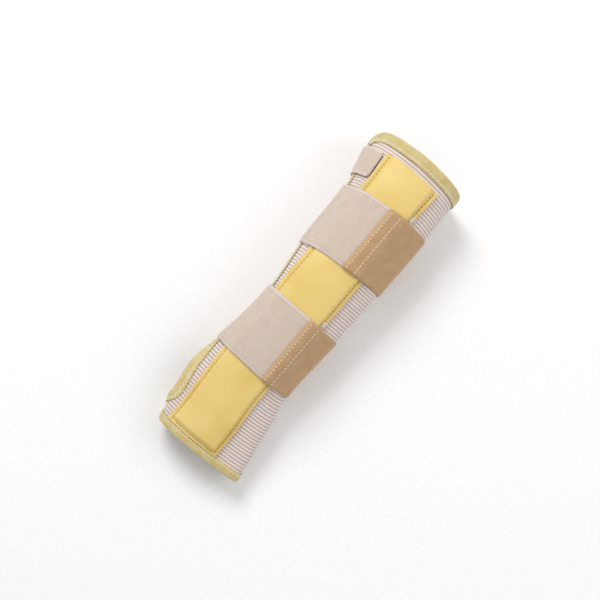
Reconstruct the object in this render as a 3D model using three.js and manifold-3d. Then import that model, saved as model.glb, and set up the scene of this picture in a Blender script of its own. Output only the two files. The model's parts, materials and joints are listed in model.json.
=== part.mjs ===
// Long wrist splint for a right hand. It rests on its dorsal side, palm side up.
// X runs along the stay towards the elbow, +Y points to the thumb side, +Z away from the floor.
// Millimetres. Every soft layer is laid on one skin, the middle of the knitted sleeve, and each
// place on the skin is a station (mm along the palm line) and a girth number:
// 0 palm middle, 2 thumb side, 4 back middle, -2 little finger side.
import * as THREE from "three";
import Module from "manifold-3d";

const manifold = await Module();
manifold.setup();
const { Manifold, Mesh } = manifold;

// ---------- driving dimensions ----------
const PALM_X = -149.5; // palm hem
const HEM_X = 148.5; // forearm hem on the palm side
const LEVEL_X = HEM_X - 1.5; // station where the palm line runs level
const HEM_SLOPE = 0.6; // how far the forearm hem falls back per girth step
const HEM_DIP = 4; // and how far it dips in the middle of the palm side
const LINE_Z = 67; // height of the palm line at the forearm
const LINE_R = 1300; // radius of the palm line, and of the stay
const CROWN_R = 60; // radius of the palm side across the pocket
const CROWN_HALF = 17; // the crown runs this far each side of the pocket's middle
const POCKET_Y = 3.5; // the pocket's middle
const SIDE_DEPTH = 0.5; // the sides are widest at this share of the depth
const FLAT_SHARE = 0.42; // flat share of the half width on the back
const ROUND = 0.56; // handle length that makes a round quarter
// half width and middle of the sleeve at stations along it
const GIRTHS = [
  [HEM_X + 0.5, 41.2, 4.0], [HEM_X - 15.5, 41.8, 4.2], [94, 37.8, -0.1], [34, 36.4, -0.6],
  [-9, 33.6, -2.1], [-40, 33.2, -0.5], [-72, 35.0, 2.2], [-98, 40.6, 2.4],
  [-118, 41.4, 0.2], [-134, 40.6, -3.2], [PALM_X + 0.5, 38.8, -6.6],
];

const GAP = 0.3; // between layers that touch
const KNIT = 1.6; // knitted sleeve
const TAPE = 0.8; // edge binding, one layer
const TAPE_GAP = 0.4; // inside the folded binding
const TAPE_W = 8.5; // width of the slit's binding on each face
const HEM_TAPE_W = 9; // forearm hem
const PALM_TAPE_W = 6.8; // palm hem
const SEAM_TAPE_W = 10; // tape inside the little finger seam
const LINING = 0.8;
const BLADE = 1.2; // aluminium stay
const TIP = 1.6; // dipped ends of the stay
const FOAM = 1.4;
const COVER = 0.7; // leather cloth
const WEBBING = 1.2; // strap cloth, both kinds
const HOOK = 1.0; // hook tape

const SLIT_HALF = 1.5; // knit edge to the middle of the slit
const CORNER_X = HEM_X - 17.5; // the hem corner turns into the slit here
const CORNER_GIRTH = 0.7; // girth steps that the corner takes

// the stay, from its blade outwards, each wall and margin in turn
const BLADE_HALF = 12.4;
const TIP_CLEAR = 0.1;
const TIP_WALL = 0.5; // beside the blade
const STAY_HALF = BLADE_HALF + TIP_CLEAR + TIP_WALL;
const FOAM_HALF = STAY_HALF + 1; // the foam covers the stay's edges

const HEM_CLEAR = 1; // pocket and seam tape to the hem bindings
const POCKET_MOUTH = HEM_X - 20;
const POCKET_END = PALM_X + PALM_TAPE_W + HEM_CLEAR;
const POCKET_SEAM = 4; // palm end seam, from the edge
const POCKET_FLARE_X = 96; // from here the pocket widens to its mouth
const POCKET_FLARE = 30; // over this length
const POCKET_BOW = 2.2; // the pocket leans to the thumb side by this at the wrist crease
const BOW_X = -82;
const BOW_LENGTH = 48;
const PUFF_IN = FOAM_HALF + 3; // the cover is at full height this far from the middle
const PUFF_OUT = PUFF_IN + 4.5; // and comes down to its seam here
const POCKET_HALF = PUFF_OUT + 1.9;
const POCKET_HALF_MOUTH = POCKET_HALF + 1.6;
const PUFF_END = 6; // it rises over this length from the end seam

const STAY_PALM = POCKET_END + 7.5;
const STAY_ELBOW = POCKET_MOUTH - 6;
const TIP_LENGTH = 12;
const TIP_SOCKET = 7;
const TIP_CORNER = 5; // corner radius of the dipped ends
const FOAM_PALM = STAY_PALM + 3.5;

const STRAP_W = 60;
const SEAM_LAP = 11; // the elastic laps the front by this
const LAP_EXTRA = 1; // the elastic stays lifted this far past the lap
const LAP_FALL = 4; // and comes down over this
const SEW_END = 3.25; // girth where the elastic's end is sewn to the back
const FREE_FROM = 2.62; // girth where the strap leaves the sleeve
const FREE_TO = 4.62; // girth of the strap's tip, past the back middle
const HOOK_FROM = 3.35;
const HOOK_INSET = 0.05; // hook patch inside the strap's edges, share of its width
const HOOK_SHORT = 0.04; // and short of the tip, in girth steps
const END_RISE = 0.5; // girth steps over which the free end climbs on to its hook patch
const UPPER = { name: "upper_strap", x: 64, lean: -0.085, edge: -3.8 };
const LOWER = { name: "lower_strap", x: -42.5, lean: 0.035, edge: -10.6 };

const TAB_X = HEM_X - 33.5;
const TAB_W = 25;
const TAB_TIP = POCKET_HALF_MOUTH + 0.8; // tab tip, from the pocket's middle
const TAB_HINGE = 2.12;
const TAB_ROOT = 2.8;
const TAB_CLIP = 4; // cut corners
const TAB_FALL = 0.2; // girth steps over which the tab comes down to the bindings
const TAB_HOOK_SHARE = 0.8; // hook patch width over tab width
const TAB_HOOK_CLEAR = 3; // hook patch to the slit's binding

const TACK_L = 5;
const TACK_W = 3;
const TACK_T = 0.7;
const TACK_Y = 1.8 - POCKET_HALF; // from the pocket's middle
const TACK_OFF = 1; // from the strap's edge

// heights over the middle of the knit
const ON_KNIT = KNIT / 2 + GAP;
const TAPE_IN = KNIT / 2 + TAPE_GAP;
const TAPE_OUT = TAPE_IN + TAPE;
const CHANNEL = ON_KNIT + LINING + GAP; // underside of the stay
const ON_STAY = CHANNEL + TIP + GAP;
const ON_FOAM = ON_STAY + FOAM + GAP;
const STRAP_BACK = ON_KNIT + WEBBING + GAP + HOOK + GAP; // free end over the hook and the elastic
const BASE_HEM = TAPE_OUT; // knit height over the floor at the hems
const RISE_HEM = HEM_X - 10.5; // stations where the knit starts to rise
const RISE_END = PALM_X + 11.5;
const RISE_ELBOW = 36; // length of the rise at the forearm hem
const RISE_PALM = 52; // and at the palm hem
const BASE_STRAP = STRAP_BACK + WEBBING + GAP; // and under the straps

// ---------- the skin ----------
const clamp = (v, lo = 0, hi = 1) => Math.min(hi, Math.max(lo, v));
const ease = (v) => { const t = clamp(v); return t * t * (3 - 2 * t); };
const mix = (a, b, t) => a + (b - a) * t;

// smooth value at x from a falling table of stations, column k
function along(table, x, k) {
  const n = table.length;
  let i = 0;
  while (i < n - 2 && x < table[i + 1][0]) i++;
  const a = table[i], b = table[i + 1];
  const slope = (j) => {
    const lo = table[Math.max(0, j - 1)], hi = table[Math.min(n - 1, j + 1)];
    return (hi[k] - lo[k]) / (hi[0] - lo[0]);
  };
  const span = b[0] - a[0];
  const t = clamp((x - a[0]) / span, -0.1, 1.1);
  const t2 = t * t, t3 = t2 * t;
  return (2 * t3 - 3 * t2 + 1) * a[k] + (t3 - 2 * t2 + t) * span * slope(i)
    + (3 * t2 - 2 * t3) * b[k] + (t3 - t2) * span * slope(i + 1);
}

// knit height over the floor: low and level at both hems, higher where straps pass under
function baseHeight(x) {
  const rise = ease((RISE_HEM - x) / RISE_ELBOW) * ease((x - RISE_END) / RISE_PALM);
  return mix(BASE_HEM, BASE_STRAP, rise);
}

function bezier(a, b, c, d, t) {
  const u = 1 - t;
  return [0, 1].map((k) =>
    u * u * u * a[k] + 3 * u * u * t * b[k] + 3 * u * t * t * c[k] + t * t * t * d[k]);
}

// across and down from the palm line, in the plane square to it
function section(x, girth, depth) {
  const half = along(GIRTHS, x, 1), mid = along(GIRTHS, x, 2);
  const p = ((((girth + 4) % 8) + 8) % 8) - 4;
  const s = p < 0 ? -1 : 1, m = Math.abs(p);
  if (m <= 1) {
    const e = CROWN_HALF * m;
    return [POCKET_Y + s * e, -e * e / (2 * CROWN_R)];
  }
  const shoulder = [POCKET_Y + s * CROWN_HALF, -(CROWN_HALF ** 2) / (2 * CROWN_R)];
  const side = [mid + s * half, -SIDE_DEPTH * depth];
  if (m <= 2) {
    const out = ROUND * Math.abs(side[0] - shoulder[0]);
    const fall = CROWN_HALF / CROWN_R;
    return bezier(shoulder, [shoulder[0] + s * out, shoulder[1] - fall * out],
      [side[0], side[1] + ROUND * (shoulder[1] - side[1])], side, m - 1);
  }
  const flat = FLAT_SHARE * half;
  if (m <= 3) {
    const heel = [mid + s * flat, -depth];
    return bezier(side, [side[0], side[1] - ROUND * (side[1] + depth)],
      [heel[0] + s * ROUND * (half - flat), -depth], heel, m - 2);
  }
  return [mid + s * flat * (4 - m), -depth];
}

function skinPoint(x, girth) {
  const turn = Math.asin((LEVEL_X - x) / LINE_R);
  const top = LINE_Z - LINE_R * (1 - Math.cos(turn));
  const depth = (top - baseHeight(x)) / Math.cos(turn);
  const [y, g] = section(x, girth, depth);
  return new THREE.Vector3(x - g * Math.sin(turn), y, top + g * Math.cos(turn));
}

const STEP_X = 0.05, STEP_GIRTH = 0.002;
function tangents(x, girth) {
  return [
    skinPoint(x + STEP_X, girth).sub(skinPoint(x - STEP_X, girth)).divideScalar(2 * STEP_X),
    skinPoint(x, girth + STEP_GIRTH).sub(skinPoint(x, girth - STEP_GIRTH))
      .divideScalar(2 * STEP_GIRTH),
  ];
}

// a point at this height over the skin, outwards
function skin(x, girth, height) {
  const [tx, tg] = tangents(x, girth);
  return skinPoint(x, girth).addScaledVector(tx.cross(tg).normalize(), height);
}

// the girth number this far across from the pocket's middle, thumb side positive
function girthAt(x, across) {
  const s = Math.sign(across) || 1;
  let lo = 0, hi = 2;
  for (let k = 0; k < 30; k++) {
    const m = (lo + hi) / 2;
    if (s * (skinPoint(x, s * m).y - POCKET_Y) < Math.abs(across)) lo = m; else hi = m;
  }
  return s * (lo + hi) / 2;
}

// girths spaced evenly round the skin, measured at the sleeve's middle
const ARC_STEP = 0.02, ARC_FROM = -8;
const arcs = [0];
for (let g = ARC_FROM; g < 8; g += ARC_STEP)
  arcs.push(arcs[arcs.length - 1] + skinPoint(0, g).distanceTo(skinPoint(0, g + ARC_STEP)));
function arcOf(girth) {
  const k = (girth - ARC_FROM) / ARC_STEP, i = Math.floor(k);
  return mix(arcs[i], arcs[i + 1] ?? arcs[i], k - i);
}
function between(from, to, share) {
  const arc = mix(arcOf(from), arcOf(to), share);
  let i = 0;
  while (arcs[i + 1] < arc) i++;
  return ARC_FROM + ARC_STEP * (i + (arc - arcs[i]) / (arcs[i + 1] - arcs[i]));
}

const wrap = (girth) => (girth > 4 ? girth - 8 : girth < -4 ? girth + 8 : girth);
const slitStep = (x) => SLIT_HALF / tangents(x, 2)[1].length();
const hemX = (girth) => HEM_X - HEM_SLOPE * Math.min(Math.abs(girth), 4)
  - HEM_DIP * ease((4 - Math.abs(girth)) / 2);

// ---------- solids from grids and sweeps ----------
function asSolid(positions, triangles) {
  const mesh = new Mesh({
    numProp: 3, vertProperties: new Float32Array(positions), triVerts: new Uint32Array(triangles),
  });
  const solid = Manifold.ofMesh(mesh);
  if (solid.volume() > 0) return solid;
  for (let i = 0; i < triangles.length; i += 3)
    [triangles[i + 1], triangles[i + 2]] = [triangles[i + 2], triangles[i + 1]];
  return Manifold.ofMesh(new Mesh({
    numProp: 3, vertProperties: new Float32Array(positions), triVerts: new Uint32Array(triangles),
  }));
}

// a sheet of cells between two faces: at(u, v) gives [x, girth, low, high]
function slab(nu, nv, at, ring = false) {
  const positions = [], triangles = [];
  const cols = ring ? nv : nv + 1;
  for (const side of [2, 3])
    for (let i = 0; i <= nu; i++)
      for (let j = 0; j < cols; j++) {
        const cell = at(i / nu, j / nv);
        positions.push(...skin(cell[0], cell[1], cell[side]));
      }
  const id = (side, i, j) => side * (nu + 1) * cols + i * cols + (j % cols);
  const quad = (a, b, c, d) => triangles.push(a, b, c, a, c, d);
  for (let i = 0; i < nu; i++)
    for (let j = 0; j < nv; j++) {
      quad(id(0, i, j), id(0, i + 1, j), id(0, i + 1, j + 1), id(0, i, j + 1));
      quad(id(1, i, j), id(1, i, j + 1), id(1, i + 1, j + 1), id(1, i + 1, j));
    }
  for (let j = 0; j < nv; j++)
    for (const i of [0, nu]) {
      const q = [id(0, i, j), id(0, i, j + 1), id(1, i, j + 1), id(1, i, j)];
      if (i) q.reverse();
      quad(...q);
    }
  if (!ring)
    for (let i = 0; i < nu; i++)
      for (const j of [0, nv]) {
        const q = [id(0, i + 1, j), id(0, i, j), id(1, i, j), id(1, i + 1, j)];
        if (j) q.reverse();
        quad(...q);
      }
  return asSolid(positions, triangles);
}

function capOf(flat) {
  return THREE.ShapeUtils.triangulateShape(flat, []).map(([a, b, c]) =>
    THREE.ShapeUtils.area([flat[a], flat[b], flat[c]]) > 0 ? [a, b, c] : [a, c, b]);
}

// folded tape: the outline of its section, as [inwards from the knit's edge, height]
const EDGE_IN = TAPE_GAP, EDGE_OUT = TAPE_GAP + TAPE;
const foldOf = (width) => [
  [width, TAPE_OUT], [width / 2, TAPE_OUT], [-EDGE_OUT, TAPE_OUT],
  [-EDGE_OUT, -TAPE_OUT], [width / 2, -TAPE_OUT], [width, -TAPE_OUT],
  [width, -TAPE_IN], [width / 2, -TAPE_IN], [-EDGE_IN, -TAPE_IN],
  [-EDGE_IN, TAPE_IN], [width / 2, TAPE_IN], [width, TAPE_IN],
];

// binding along an edge of the knit, given as [x, girth] points; the knit is to the left
function binding(edge, width, loop) {
  const fold = foldOf(width), n = edge.length, k = fold.length, positions = [], triangles = [];
  edge.forEach(([x, girth], i) => {
    const before = edge[loop ? (i + n - 1) % n : Math.max(0, i - 1)];
    const after = edge[loop ? (i + 1) % n : Math.min(n - 1, i + 1)];
    const run = skinPoint(...after).sub(skinPoint(...before));
    const [tx, tg] = tangents(x, girth);
    const inwards = tx.clone().cross(tg).normalize().cross(run).normalize();
    const xx = tx.dot(tx), xg = tx.dot(tg), gg = tg.dot(tg);
    const bx = inwards.dot(tx), bg = inwards.dot(tg), det = xx * gg - xg * xg;
    const dx = (bx * gg - bg * xg) / det, dg = (bg * xx - bx * xg) / det;
    for (const [a, b] of fold) positions.push(...skin(x + a * dx, girth + a * dg, b));
  });
  const rows = loop ? n : n - 1;
  for (let i = 0; i < rows; i++)
    for (let j = 0; j < k; j++) {
      const a = i * k + j, b = i * k + (j + 1) % k;
      const c = ((i + 1) % n) * k + (j + 1) % k, d = ((i + 1) % n) * k + j;
      triangles.push(a, b, c, a, c, d);
    }
  if (!loop) {
    const outline = fold.map((q) => new THREE.Vector2(...q)), e = (n - 1) * k;
    const flip = THREE.ShapeUtils.isClockWise(outline);
    for (const [a, b, c] of capOf(outline))
      if (flip) triangles.push(a, b, c, e + a, e + c, e + b);
      else triangles.push(a, c, b, e + a, e + b, e + c);
  }
  return asSolid(positions, triangles);
}

// ---------- the open edges ----------
const CORNER_STEPS = 7, THUMB_STEPS = 40, HEM_STEPS = 46, PALM_STEPS = 56;
const SLIT_END = -72; // the slit opens into the thumb hole here
const SLIT_STEPS = Math.ceil((CORNER_X - SLIT_END) / 11);
// thumb hole from the slit's end round the web and back, palm side first
const THUMB_HOLE = [
  [-72, 1.967], [-77, 1.955], [-85, 1.87], [-97, 1.79], [-109, 1.74], [-118, 1.71], [-124, 1.74],
  [-127.6, 1.85], [-128.8, 2.02], [-128.2, 2.24], [-125, 2.48], [-118, 2.64], [-109, 2.69],
  [-97, 2.58], [-85, 2.31], [-77, 2.08], [-72, 2.033],
];

const side = (s, offset) => 2 + s * offset;
// from the hem round the corner and down the slit; s is -1 on the palm edge, 1 on the back edge
function cornerEdge(s) {
  const out = [];
  for (let i = 0; i <= CORNER_STEPS; i++) {
    const a = (Math.PI / 2) * (i / CORNER_STEPS);
    const start = side(s, CORNER_GIRTH), end = side(s, slitStep(CORNER_X));
    const top = hemX(start);
    out.push([CORNER_X + (top - CORNER_X) * Math.cos(a), mix(start, end, Math.sin(a))]);
  }
  return out;
}
function slitEdge(s) {
  const out = [];
  for (let i = 0; i <= SLIT_STEPS; i++) {
    const x = mix(CORNER_X, SLIT_END, i / SLIT_STEPS);
    out.push([x, side(s, slitStep(x))]);
  }
  return out;
}
const THUMB_SCALE = 32; // mm per girth step at the thumb hole, for even spacing
function thumbEdge() {
  const line = THUMB_HOLE.map(([x, g]) => new THREE.Vector3(x, g * THUMB_SCALE, 0));
  line[0].y = side(-1, slitStep(SLIT_END)) * THUMB_SCALE;
  line[line.length - 1].y = side(1, slitStep(SLIT_END)) * THUMB_SCALE;
  return new THREE.CatmullRomCurve3(line).getSpacedPoints(THUMB_STEPS)
    .map((q) => [q.x, q.y / THUMB_SCALE]);
}
const thumbLine = thumbEdge();
const slitLine = [
  ...slitEdge(-1).slice(0, -1), ...thumbLine, ...slitEdge(1).reverse().slice(1),
];
const hemLine = [];
hemLine.push(...cornerEdge(1).reverse().slice(0, -1));
for (let i = 0; i <= HEM_STEPS; i++) {
  const girth = wrap(between(side(1, CORNER_GIRTH) - 8, side(-1, CORNER_GIRTH), i / HEM_STEPS));
  hemLine.push([hemX(girth), girth]);
}
hemLine.push(...cornerEdge(-1).slice(1));
const palmLine = [];
for (let i = 0; i < PALM_STEPS; i++) palmLine.push([PALM_X, between(4, -4, i / PALM_STEPS)]);

// ---------- knitted sleeve ----------
const KNIT_ROWS = Math.ceil((HEM_X - PALM_X) / 9);
const OVER_HEM = 12; // how far the cutter stands out over the hem
const CUT_DEEP = 5;
const halfThumb = THUMB_STEPS / 2;
const cutPalm = [[HEM_X + OVER_HEM, side(-1, CORNER_GIRTH)], ...cornerEdge(-1),
  ...slitEdge(-1).slice(1, -1), ...thumbLine.slice(0, halfThumb + 1)];
const cutBack = [[HEM_X + OVER_HEM, side(1, CORNER_GIRTH)], ...cornerEdge(1),
  ...slitEdge(1).slice(1, -1), ...[...thumbLine].reverse().slice(0, halfThumb + 1)];
const cutter = slab(cutPalm.length - 1, 8, (u, v) => {
  const i = Math.round(u * (cutPalm.length - 1));
  return [mix(cutPalm[i][0], cutBack[i][0], v), mix(cutPalm[i][1], cutBack[i][1], v),
    -CUT_DEEP, CUT_DEEP];
});
const SEAM_STEP = GAP / 2;
function panel(from) {
  return slab(KNIT_ROWS, 20, (u, v) => {
    const nominal = v === 0 ? from : v === 1 ? from + 4 : between(from, from + 4, v);
    const edge = Math.min(nominal - from, from + 4 - nominal);
    const end = edge < 1e-6 ? SEAM_STEP / tangents(0, nominal)[1].length() : 0;
    const girth = nominal + (v < 0.5 ? end : -end);
    const wrapped = wrap(girth);
    return [mix(PALM_X, hemX(wrapped), u), wrapped, -KNIT / 2, KNIT / 2];
  }).subtract(cutter);
}

// ---------- pocket ----------
const pocketMid = (x) => POCKET_BOW * ease(1 - Math.abs(x - BOW_X) / BOW_LENGTH);
const pocketHalf = (x) =>
  mix(POCKET_HALF, POCKET_HALF_MOUTH, ease((x - POCKET_FLARE_X) / POCKET_FLARE));
// height of the cover's underside, across from the pocket's middle
function coverLow(x, across) {
  const e = Math.abs(across - pocketMid(x));
  const puff = ease((PUFF_OUT - e) / (PUFF_OUT - PUFF_IN));
  const end = ease((x - POCKET_END - POCKET_SEAM) / PUFF_END);
  return CHANNEL + (ON_FOAM - CHANNEL) * puff * end;
}
const POCKET_ROWS = Math.ceil((POCKET_MOUTH - POCKET_END) / 9.5);
const POCKET_COLS = Math.ceil(2 * POCKET_HALF / 3);
const pocketAcross = (x, v) => pocketMid(x) + mix(-1, 1, v) * pocketHalf(x);

// room over the bindings of the slit, down to the bare knit beside them
const SLIT_NEAR = 1.75, SLIT_SETTLE = 5, SLIT_REACH = 1, SLIT_LIFT = 1.4 * GAP;
function openEdge(x, s) {
  if (x >= SLIT_END) return side(s, slitStep(x));
  const line = s < 0 ? thumbLine : [...thumbLine].reverse();
  let i = 0;
  while (i < halfThumb - 1 && line[i + 1][0] > x) i++;
  const [a, b] = [line[i], line[i + 1]];
  return mix(a[1], b[1], clamp((a[0] - x) / (a[0] - b[0])));
}
function slitRoom(x, girth) {
  const steps = Math.max(0, openEdge(x, -1) - girth, girth - openEdge(x, 1));
  const past = steps * tangents(x, 2)[1].length() - TAPE_W - SLIT_REACH;
  return mix(TAPE_OUT + SLIT_LIFT, ON_KNIT, ease(past / SLIT_SETTLE));
}

// underside of a strap over the pocket, beside it and on the bare knit
const STRAP_SETTLE = 6;
function strapLow(x, girth) {
  const g = Math.abs(girth) > 2 ? 2 * Math.sign(girth) : girth;
  const e = Math.abs(skinPoint(x, g).y - POCKET_Y - pocketMid(x));
  const crest = ON_FOAM + COVER + 2 * GAP, brim = CHANNEL + COVER + 2 * GAP;
  const rim = pocketHalf(x) + 2 * GAP;
  const slit = slitRoom(x, girth);
  if (girth > SLIT_NEAR) return slit;
  if (Math.abs(girth) >= 2) return ON_KNIT;
  if (e < PUFF_IN) return crest;
  if (e < rim) return mix(crest, brim, (e - PUFF_IN) / (rim - PUFF_IN));
  return Math.max(mix(brim, ON_KNIT, ease((e - rim) / STRAP_SETTLE)), girth > 0 ? slit : 0);
}

// ---------- straps ----------
const STRAP_COLS = Math.ceil(STRAP_W / 10);

// station at girth on a strap, v across its width from 0 to 1
const strapX = (s, girth, v) => s.x + s.lean * skinPoint(s.x, girth).y + (v - 0.5) * STRAP_W;


// girths of a strap's rows from one end to the other, with a row on each fold line of the pocket
const STRAP_STEP = 4.2;
function strapRows(s, from, to) {
  const folds = (v) => {
    const near = strapX(s, 0, v), rim = pocketHalf(near) + 2 * GAP;
    return [-rim, -PUFF_IN, PUFF_IN, rim].map((a) => {
      const first = strapX(s, girthAt(near, pocketMid(near) + a), v);
      return girthAt(first, pocketMid(first) + a);
    });
  };
  const lo = Math.min(from, to), hi = Math.max(from, to), room = 0.04;
  const used = [0, 1, 2, 3].filter((k) => [0, 0.5, 1].every((v) =>
    folds(v)[k] > lo + room && folds(v)[k] < hi - room));
  const stops = (v) => {
    const inner = used.map((k) => folds(v)[k]);
    return from < to ? [from, ...inner, to] : [from, ...inner.reverse(), to];
  };
  const counts = stops(0.5).slice(1).map((b, i) =>
    Math.max(2, Math.ceil(Math.abs(arcOf(b) - arcOf(stops(0.5)[i])) / STRAP_STEP)));
  const rows = counts.reduce((a, b) => a + b, 0);
  const girth = (u, v) => {
    const ends = stops(v);
    let row = Math.round(u * rows), i = 0;
    while (row > counts[i]) row -= counts[i++];
    return between(ends[i], ends[i + 1], row / counts[i]);
  };
  return [rows, girth];
}

function strapFront(s) {
  const inner = girthAt(s.x, s.edge - SEAM_LAP);
  const [rows, girthOf] = strapRows(s, inner, FREE_FROM);
  return slab(rows, STRAP_COLS, (u, v) => {
    const girth = girthOf(u, v), x = strapX(s, girth, v);
    const low = strapLow(x, girth);
    return [x, girth, low, low + WEBBING];
  });
}
function strapElastic(s) {
  const start = girthAt(s.x, s.edge), lap = girthAt(s.x, s.edge - SEAM_LAP);
  const lapped = SEAM_LAP + LAP_EXTRA;
  const [rows, girthOf] = strapRows(s, start, SEW_END - 8);
  return slab(rows, STRAP_COLS, (u, v) => {
    const girth = girthOf(u, v), x = strapX(s, girth, v);
    const past = (start - girth) / (start - lap) * SEAM_LAP;
    const lift = (WEBBING + GAP) * (1 - ease((past - lapped) / LAP_FALL));
    const low = strapLow(x, wrap(girth)) + lift;
    return [x, wrap(girth), low, low + WEBBING];
  });
}
function strapEnd(s) {
  const start = FREE_FROM + GAP / tangents(s.x, FREE_FROM)[1].length();
  return slab(14, STRAP_COLS, (u, v) => {
    const girth = between(start, FREE_TO, u), x = strapX(s, girth, v);
    const low = mix(ON_KNIT, STRAP_BACK, ease((girth - FREE_FROM) / END_RISE));
    return [x, wrap(girth), low, low + WEBBING];
  });
}
function strapHook(s) {
  return slab(7, 4, (u, v) => {
    const girth = between(HOOK_FROM, FREE_TO - HOOK_SHORT, u);
    const x = strapX(s, girth, mix(HOOK_INSET, 1 - HOOK_INSET, v));
    const low = STRAP_BACK - GAP - HOOK;
    return [x, wrap(girth), low, low + HOOK];
  });
}

// ---------- tab over the slit's top ----------
function tabX(v) { return TAB_X + (v - 0.5) * TAB_W; }
const TAB_ROOM = ON_KNIT + HOOK + GAP; // the tab's end lies on its hook patch
function tabEnd() {
  const tip = girthAt(TAB_X, TAB_TIP);
  return slab(14, 8, (u, v) => {
    const x = tabX(v);
    const cut = TAB_CLIP * clamp(1 - Math.min(v, 1 - v) * TAB_W / TAB_CLIP);
    const last = tip + cut / tangents(x, tip)[1].length();
    const girth = mix(TAB_HINGE - GAP / tangents(x, 2)[1].length(), last, u);
    const low = Math.max(TAB_ROOM, slitRoom(x, girth));
    return [x, girth, low, low + WEBBING];
  });
}
function tabBase() {
  return slab(10, 4, (u, v) => {
    const x = tabX(v), girth = mix(TAB_HINGE, TAB_ROOT, u);
    const low = mix(TAB_ROOM, slitRoom(x, girth), ease((girth - TAB_HINGE) / TAB_FALL));
    return [x, girth, low, low + WEBBING];
  });
}
function tabHook() {
  const near = girthAt(TAB_X, TAB_TIP + TAB_CLIP);
  return slab(6, 4, (u, v) => {
    const x = tabX(mix(0.5 - TAB_HOOK_SHARE / 2, 0.5 + TAB_HOOK_SHARE / 2, v));
    const off = TAPE_W + 2 * SLIT_HALF + TAB_HOOK_CLEAR;
    const far = 2 - off / tangents(x, 2)[1].length();
    const girth = mix(near, far, u);
    return [x, girth, ON_KNIT, ON_KNIT + HOOK];
  });
}

// ---------- stay ----------
function stayBar(from, to, half, low, high, nx = 26) {
  return slab(nx, 4, (u, v) => [mix(from, to, u), mix(-half, half, v) / CROWN_HALF, low, high]);
}
const BLADE_LOW = CHANNEL + (TIP - BLADE) / 2;
function stayTip(from, inwards) {
  const to = from + inwards * TIP_LENGTH, mouth = to - inwards * TIP_SOCKET;
  const solid = slab(10, 4, (u, v) => {
    const reach = TIP_LENGTH * (1 - Math.cos(u * Math.PI / 2));
    const short = TIP_CORNER - Math.min(reach, TIP_CORNER);
    const half = STAY_HALF - TIP_CORNER + Math.sqrt(TIP_CORNER ** 2 - short ** 2);
    return [from + inwards * reach, mix(-half, half, v) / CROWN_HALF, CHANNEL, CHANNEL + TIP];
  });
  const open = to + inwards;
  return solid.subtract(stayBar(Math.min(mouth, open), Math.max(mouth, open),
    BLADE_HALF + TIP_CLEAR, BLADE_LOW - TIP_CLEAR, BLADE_LOW + BLADE + TIP_CLEAR, 4));
}
const BLADE_END = TIP_LENGTH - TIP_SOCKET + TIP_CLEAR;

function tack(s) {
  const x0 = strapX(s, girthAt(s.x, TACK_Y), 1) + TACK_OFF;
  return slab(3, 2, (u, v) => {
    const x = mix(x0, x0 + TACK_L, u), across = TACK_Y + (v - 0.5) * TACK_W;
    const low = coverLow(x, across) + COVER + GAP;
    return [x, girthAt(x, across), low, low + TACK_T];
  });
}

// ---------- assembly ----------
const LOOKS = {
  knit: ["#ddcdc6", 0.95, 0], tape: ["#dccb85", 0.9, 0], hide: ["#e8cf82", 0.5, 0],
  lining: ["#efe9dc", 0.9, 0], foam: ["#f2efe6", 0.95, 0], aluminium: ["#c9ccd0", 0.35, 1],
  dip: ["#f4f3ee", 0.5, 0], loop: ["#dccdc1", 0.95, 0], elastic: ["#b8976b", 0.9, 0],
  hook: ["#e6dfd6", 0.7, 0], thread: ["#f7f4ea", 0.8, 0],
};
const pieces = [
  ["volar_panel", "knit", panel(-2)],
  ["dorsal_panel", "knit", panel(2)],
  ["ulnar_seam_tape", "tape", slab(KNIT_ROWS, 2, (u, v) => {
    const half = SEAM_TAPE_W / 2;
    const x = mix(PALM_X + PALM_TAPE_W + HEM_CLEAR, hemX(-2) - HEM_TAPE_W - HEM_CLEAR, u);
    return [x, -2 + mix(-half, half, v) / tangents(x, -2)[1].length(),
      -ON_KNIT - TAPE / 2, -ON_KNIT];
  })],
  ["proximal_binding", "tape", binding(hemLine, HEM_TAPE_W, false)],
  ["thumb_binding", "tape", binding(slitLine.slice(1, -1), TAPE_W, false)],
  ["palm_binding", "tape", binding(palmLine, PALM_TAPE_W, true)],
  ["pocket_lining", "lining", slab(POCKET_ROWS, POCKET_COLS, (u, v) => {
    const x = mix(POCKET_END, POCKET_MOUTH, u);
    return [x, between(girthAt(x, pocketAcross(x, 0)), girthAt(x, pocketAcross(x, 1)), v),
      ON_KNIT, ON_KNIT + LINING];
  })],
  ["pocket_foam", "foam", slab(26, 4, (u, v) =>
    [mix(FOAM_PALM, POCKET_MOUTH - POCKET_SEAM, u), mix(-FOAM_HALF, FOAM_HALF, v) / CROWN_HALF,
      ON_STAY, ON_STAY + FOAM])],
  ["pocket_cover", "hide", slab(POCKET_ROWS, POCKET_COLS, (u, v) => {
    const x = mix(POCKET_END, POCKET_MOUTH, u), across = pocketAcross(x, v);
    const low = coverLow(x, across);
    return [x, girthAt(x, across), low, low + COVER];
  })],
  ["upper_bartack", "thread", tack(UPPER)],
  ["lower_bartack", "thread", tack(LOWER)],
  ["stay_blade", "aluminium", stayBar(STAY_PALM + BLADE_END, STAY_ELBOW - BLADE_END, BLADE_HALF,
    BLADE_LOW, BLADE_LOW + BLADE)],
  ["stay_palm_tip", "dip", stayTip(STAY_PALM, 1)],
  ["stay_elbow_tip", "dip", stayTip(STAY_ELBOW, -1)],
  ["top_tab_base", "loop", tabBase()],
  ["top_tab_end", "loop", tabEnd()],
  ["top_tab_hook", "hook", tabHook()],
];
for (const s of [UPPER, LOWER]) {
  pieces.push([`${s.name}_elastic`, "elastic", strapElastic(s)]);
  pieces.push([`${s.name}_front`, "loop", strapFront(s)]);
  pieces.push([`${s.name}_end`, "loop", strapEnd(s)]);
  pieces.push([`${s.name}_hook`, "hook", strapHook(s)]);
}

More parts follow.
